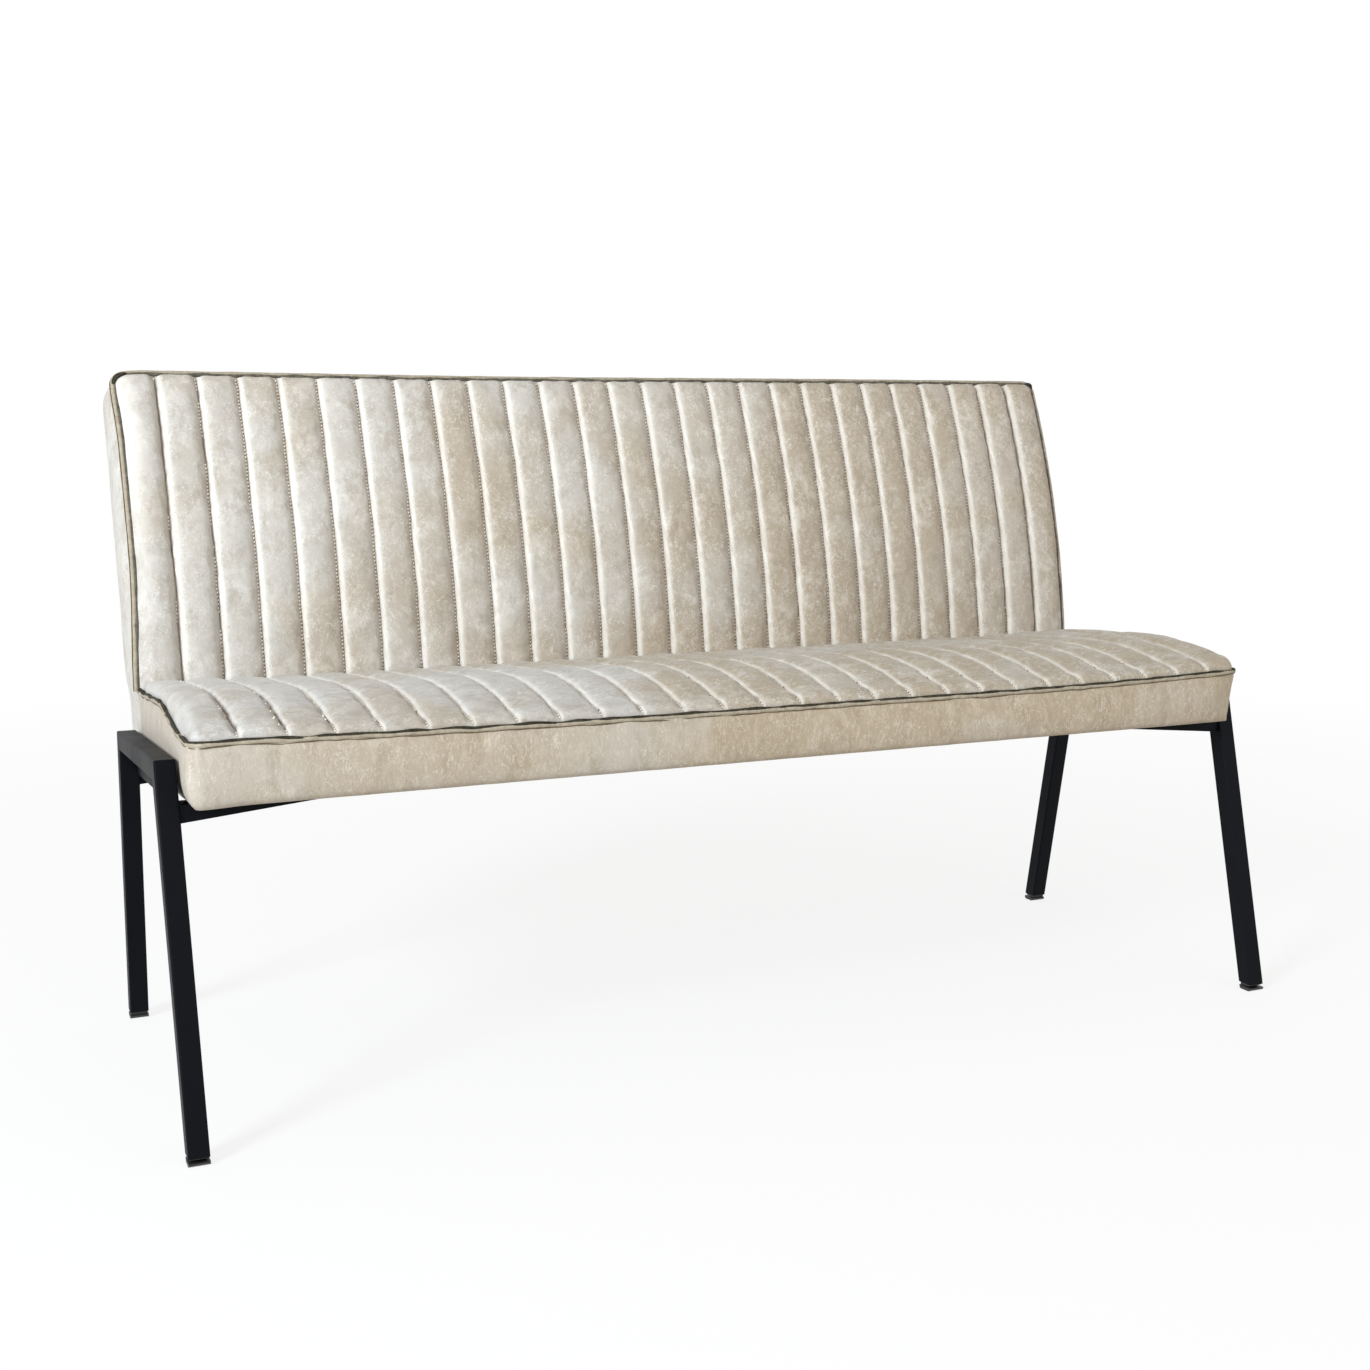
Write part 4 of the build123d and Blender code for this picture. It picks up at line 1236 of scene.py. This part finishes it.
set_points(back_band, to_frame(band_x, wrapped_depth, wrapped_height))
# Painted shade along the front cord and where the band turns under behind.
paint_attribute(back_band, "crease_shade", 0.5 * bell(along, 0.03) + 0.4 * bell(1.1 - along, 0.02))
thicken(back_band, 0.0080, settle_back)
place_piece(back_band, back_cover_finish, "upholstery", "back_boxing")
print_boxes(back_band)

# %% [markdown]
# ## The rear cover
# A plain thinly padded panel closes the back behind. It is pulled tight, so it only crowns by a
# few millimetres between its sewn edges.

# %% Rear cover
rear_columns = np.linspace(-(half_width - rear_inset), half_width - rear_inset, 75)
rear_cover, across, along = cloth_grid("rear_cover", rear_columns, np.linspace(0, 1, 29))
foot = np.array(rear_point(np.array(-back_straight / back_radius)))
head = np.array(rear_point(np.array((back_top - rear_inset) / back_radius)))
way = (head - foot) / np.linalg.norm(head - foot)
from_edge = np.minimum.reduce([rear_columns[-1] - np.abs(across), along * 0.5, (1 - along) * 0.5])
crown = 0.0030 * round_rise(from_edge, 0.05)
crown = crown + 0.0008 * wobble(across + 2 * along, 0.3, 41) * smooth_step(from_edge / 0.04)
crown += 0.0006 * wobble(across + along, 0.045, 42) * bell(from_edge, 0.012)
rear_depth = foot[0] + (head[0] - foot[0]) * along + crown * way[1]
rear_height = foot[1] + (head[1] - foot[1]) * along - crown * way[0]
set_points(rear_cover, to_frame(across, rear_depth, rear_height))
# Painted shade along the sewn edges of the rear cover.
paint_attribute(rear_cover, "crease_shade", 0.8 * bell(from_edge, 0.004))
thicken(rear_cover, 0.0038, settle_back, even=False)
place_piece(rear_cover, back_cover_finish, "upholstery", "rear_panel")
print_boxes(rear_cover)

# %% [markdown]
# ## Cords and the dark lines beside them
# The cord is a strip of cover sewn round a soft string, so it is slightly thicker and thinner
# along its way and waves with the channels. A curve with a round profile follows the edge and is
# then made a mesh. The thinner olive and brown ones beside it are painted shade in the gaps next to
# the cord, and the grey one runs along the back's cord.

# %% Cord helper
def sewn_cord(name, points, radii, finish, *nodes):
    """A round cord through the points, five or more of them, with a radius for each."""
    bpy.ops.object.select_all(action="DESELECT")
    bpy.ops.curve.primitive_nurbs_path_add()
    cord = bpy.context.object
    cord.name = name
    spline = cord.data.splines[0]
    spline.points.add(len(points) - len(spline.points))
    for knot, place, radius in zip(spline.points, points, radii):
        knot.co = (*place, 1)
        knot.radius = radius
    spline.order_u = 3
    spline.use_endpoint_u = True
    spline.resolution_u = 2
    cord.data.bevel_depth = 1
    cord.data.bevel_resolution = 2
    cord.data.use_fill_caps = True
    cord.data.twist_mode = "MINIMUM"
    only(cord)
    bpy.ops.object.convert(target="MESH")
    cord = bpy.context.object
    cord.matrix_world = ((1, 0, 0, 0), (0, 1, 0, 0), (0, 0, 1, 0), (0, 0, 0, 1))
    face_outward(cord, 70)
    paint_attribute(cord, "crease_shade", np.zeros(len(cord.data.vertices)))
    place_piece(cord, finish, "welt", *nodes)


print("cord helper ready")

# %% [markdown]
# The cords follow the edges of the two cushions. Round the seat the edge dips slightly at most of
# the seams, where the stitching pulls it down.

# %% Edges that the cords follow
cord_wave, seam_dip, tuck_depth = 0.05, 0.0009, 0.009


def seat_edge(reach, lift, wave, seed):
    """Points of the frame round the seat's edge, outside it by reach and above it by lift."""
    x, depth = seat_outline(reach)
    depth = np.where(depth > seat_depth - 1e-6, seat_depth + tuck_depth, depth)
    waved = wave * wobble(outline_length, cord_wave, seed)
    height = seat_base(np.maximum(depth, 0)) + edge_lift + lift + waved
    pull = np.clip(0.5 + 0.5 * wobble(x, 0.09, 59), 0, 1)
    height = height - seam_dip * pull * bell(seam_distance(x, seams), 0.007)
    return settle_seat(to_frame(x, depth, height))


def back_edge(reach, forward, wave, seed, start=0.036):
    """Points of the frame round the back's edge from just above the seat."""
    x, along = back_route(reach)
    forward = forward + wave * wobble(back_length, cord_wave, seed)
    depth, height = back_point(along / back_radius, forward)
    return settle_back(to_frame(x, depth, height)[along > start])


def thickness(points, radius, change, seed):
    """A radius for every point that varies by a share."""
    travelled = np.concatenate([[0], np.cumsum(np.linalg.norm(np.diff(points, axis=0), axis=1))])
    return radius * (1 + change * wobble(travelled, 0.04, seed))


print("edges ready")

# %% [markdown]
# The pale cord comes first on each cushion, and then the two thin lines beside it, whose
# thickness changes more.

# %% Cords round both cushions
seat_line = seat_edge(cord_radius - 0.0006, -0.0022, 0.0005, 51)
sewn_cord("seat_cord", seat_line, thickness(seat_line, cord_radius, 0.06, 52), cord_cloth, "seat_welt")
back_line = back_edge(cord_radius + 0.0003, cord_radius, 0.0005, 53)
sewn_cord("back_cord", back_line, thickness(back_line, cord_radius, 0.06, 54), cord_cloth, "back_welt")
# Painted shade: the olive line in the gap above the seat's cord and the brown one in the gap below it.
for name, reach, lift, radius, change, finish, seed in (
        ("seat_cord_shade_line", 0.0026, -0.0001, 0.0023, 0.24, cord_olive, 55),
        ("seat_seam_shade_line", 0.0037, -0.0055, 0.0007, 0.25, seam_brown, 56)):
    line = seat_edge(reach, lift, 0.0010, seed)
    sewn_cord(name, line, thickness(line, radius, change, seed + 20), finish)
# The grey line runs along the back's cord; the brown one is painted shade in the gap behind it.
for name, reach, forward, radius, change, finish, seed in (
        ("back_cord_grey", 0.0006, 0.0034, 0.0027, 0.22, cord_grey, 57),
        ("back_seam_shade_line", 0.0062, -0.0012, 0.0009, 0.30, seam_brown, 58)):
    line = back_edge(reach, forward, 0.0008, seed)
    sewn_cord(name, line, thickness(line, radius, change, seed + 20), finish)

# %% [markdown]
# ## Where the cord ends meet
# The back's cord is cut in pieces. At each top corner, and where the seat's cord reaches the back,
# an end is tucked under the next piece and leaves a small dark bunch, whose olive colour is painted
# shade. Each is a short thick end of cord that curls over the other one.

# %% Tucked ends
def tucked_end(name, points, radius, seed):
    """A short end of cord through a few points, thickest in its middle."""
    points = np.array(points)
    share = np.linspace(0, 1, len(points))
    radii = radius * (0.55 + 0.45 * np.sin(share * math.pi)) * (1 + 0.1 * wobble(share, 0.4, seed))
    # The end takes the olive finish of painted shade.
    sewn_cord(name, points, radii, cord_olive)


corner_x = np.array([0.0035, 0.0015, -0.004, -0.011, -0.016])
corner_up = np.array([-0.017, -0.008, -0.0035, -0.0005, 0.0025])
corner_front = np.array([0.0030, 0.0072, 0.0082, 0.0068, 0.0025])
end_out = half_width + np.array([0.0024, 0.0028, 0.0035, 0.0045, 0.0050])
end_depth = seat_depth + np.array([-0.018, -0.012, -0.006, 0.002, 0.009])
end_lift = np.array([0.0010, 0.0018, 0.0024, 0.0034, 0.0060])
end_height = seat_base(np.full(5, seat_depth)) + edge_lift + end_lift
for label, side, size in (("left", -1, 1.0), ("right", 1, 0.6)):
    depth, height = back_point((back_top + corner_up * size) / back_radius, corner_front)
    bunch = settle_back(to_frame(side * (half_width + corner_x * size), depth, height))
    tucked_end("corner_tuck_" + label, bunch, 0.0035 * (0.5 + 0.5 * size), 80 + side)
    end = settle_seat(to_frame(side * end_out, end_depth, end_height))
    tucked_end("seat_tuck_" + label, end, 0.0026, 90 + side)

# %% [markdown]
# ## Channel stitches
# Each seam is a row of thick stitches sunk into its groove. One stitch is modelled, and a copy of
# it is laid on the cloth wherever a ray from above the groove finds it. A stitch is 3 mm long,
# from a ball of radius 1 that is made as flat and long as half a stitch, and the next one follows
# 5.2 mm further on.

# %% One stitch
stitch_half, stitch_pitch, stitch_raise = (0.0014, 0.0015, 0.0010), 0.0052, 0.0007
bpy.ops.object.select_all(action="DESELECT")
bpy.ops.mesh.primitive_uv_sphere_add(segments=6, ring_count=4, radius=1)
one_stitch = bpy.context.object
bpy.ops.transform.resize(value=stitch_half)
bpy.ops.object.transform_apply(location=False, rotation=False, scale=True)
stitch_points = points_of(one_stitch)
stitch_faces = [tuple(p.vertices) for p in one_stitch.data.polygons]
bpy.data.objects.remove(one_stitch)
print("one stitch has", len(stitch_faces), "faces")

# %% [markdown]
# A row needs the direction of its seam and the direction out of the cloth at every stitch. Both
# come from two more places on the surface, one a millimetre on and one a millimetre aside.

# %% Rows of stitches
near_step, ray_above, ray_length = 0.001, 0.012, 0.03


def stitch_rows(name, cushion, surface, settle, start, end, seed, shift):
    """Stitches along every seam of a cushion, laid in its groove or shifted slightly beside it."""
    tree = BVHTree.FromObject(cushion, bpy.context.evaluated_depsgraph_get())
    along = np.arange(start, end, stitch_pitch)
    placed, faces = [], []
    for line in seams:
        row = np.full(len(along), line + shift)
        route = surface(row, along)
        ahead = surface(row, along + near_step)
        side = surface(row + near_step, along)
        route, ahead, side = (settle(wander(points, seed)) for points in (route, ahead, side))
        for place, front, beside in zip(route, ahead, side):
            forward = Vector(front - place).normalized()
            out = Vector(beside - place).cross(forward).normalized()
            hit = tree.ray_cast(Vector(place) + out * ray_above, -out, ray_length)[0]
            if hit is None:
                continue
            turn = np.array([forward.cross(out), forward, out])
            base = len(placed) * len(stitch_points)
            placed.append(stitch_points @ turn + np.array(hit + out * stitch_raise))
            faces += [tuple(v + base for v in face) for face in stitch_faces]
    mesh = bpy.data.meshes.new(name)
    mesh.from_pydata(np.vstack(placed).tolist(), [], faces)
    rows = bpy.data.objects.new(name, mesh)
    bpy.context.scene.collection.objects.link(rows)
    face_outward(rows, 80)
    place_piece(rows, thread_cream, "upholstery")
    print(name, len(placed), "stitches")


stitch_rows("seat_stitches", seat_cushion, seat_surface, settle_seat, start=0.003,
            end=seat_depth - 0.004, seed=seat_wander, shift=-0.0002)
stitch_rows("back_stitches", back_cushion, back_surface, settle_back, start=0.040,
            end=back_top - 0.004, seed=back_wander, shift=-0.0010)

# %% [markdown]
# ## The lining under the seat
# A thin black cloth is stapled under the board. It is stretched by hand, so it sags and creases
# by less than a millimetre between its staples. The bolts of the seat supports pass through it.

# %% Lining
lining_front, lining_rear = board_inset, board_inset + (lining_high.y - lining_low.y) / seat_cos
lining_half, lining_below, bolt_clear = lining_high.x, 0.00035, 0.009
lining_columns = np.linspace(-lining_half, lining_half, 148)
lining_rows = np.linspace(lining_front, lining_rear, 53)
lining, across, along = cloth_grid("under_lining", lining_columns, lining_rows)
from_edge = np.minimum.reduce([lining_half - np.abs(across), along - lining_front, lining_rear - along])
sag = 0.0003 * wobble(across + 0.4 * along, 0.09, 61) + 0.0002 * wobble(along * 2, 0.06, 62)
set_points(lining, to_frame(across, along, lining_below + sag * smooth_step(from_edge / 0.03)))
print("the lining starts at", round(lining_front, 4), "and ends at", round(lining_rear, 4))

# %% [markdown]
# The cloth is cut away round each bolt: the grid's faces that lie near one are deleted before the
# sheet gets its thickness.

# %% Holes for the bolts
bolts = BVHTree.FromObject(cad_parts["seat_bolts"], bpy.context.evaluated_depsgraph_get())
mesh_edit = bmesh.new()
mesh_edit.from_mesh(lining.data)
pierced = [face for face in mesh_edit.faces
           if bolts.find_nearest(face.calc_center_median(), bolt_clear)[0] is not None]
bmesh.ops.delete(mesh_edit, geom=pierced, context="FACES")
mesh_edit.to_mesh(lining.data)
mesh_edit.free()
print("lining pierced at", len(pierced), "faces")
finish_modifier(lining, "SOLIDIFY", thickness=0.0004, offset=0.0)
face_outward(lining)
place_piece(lining, black_lining, "lining_cloth", "bottom_lining")
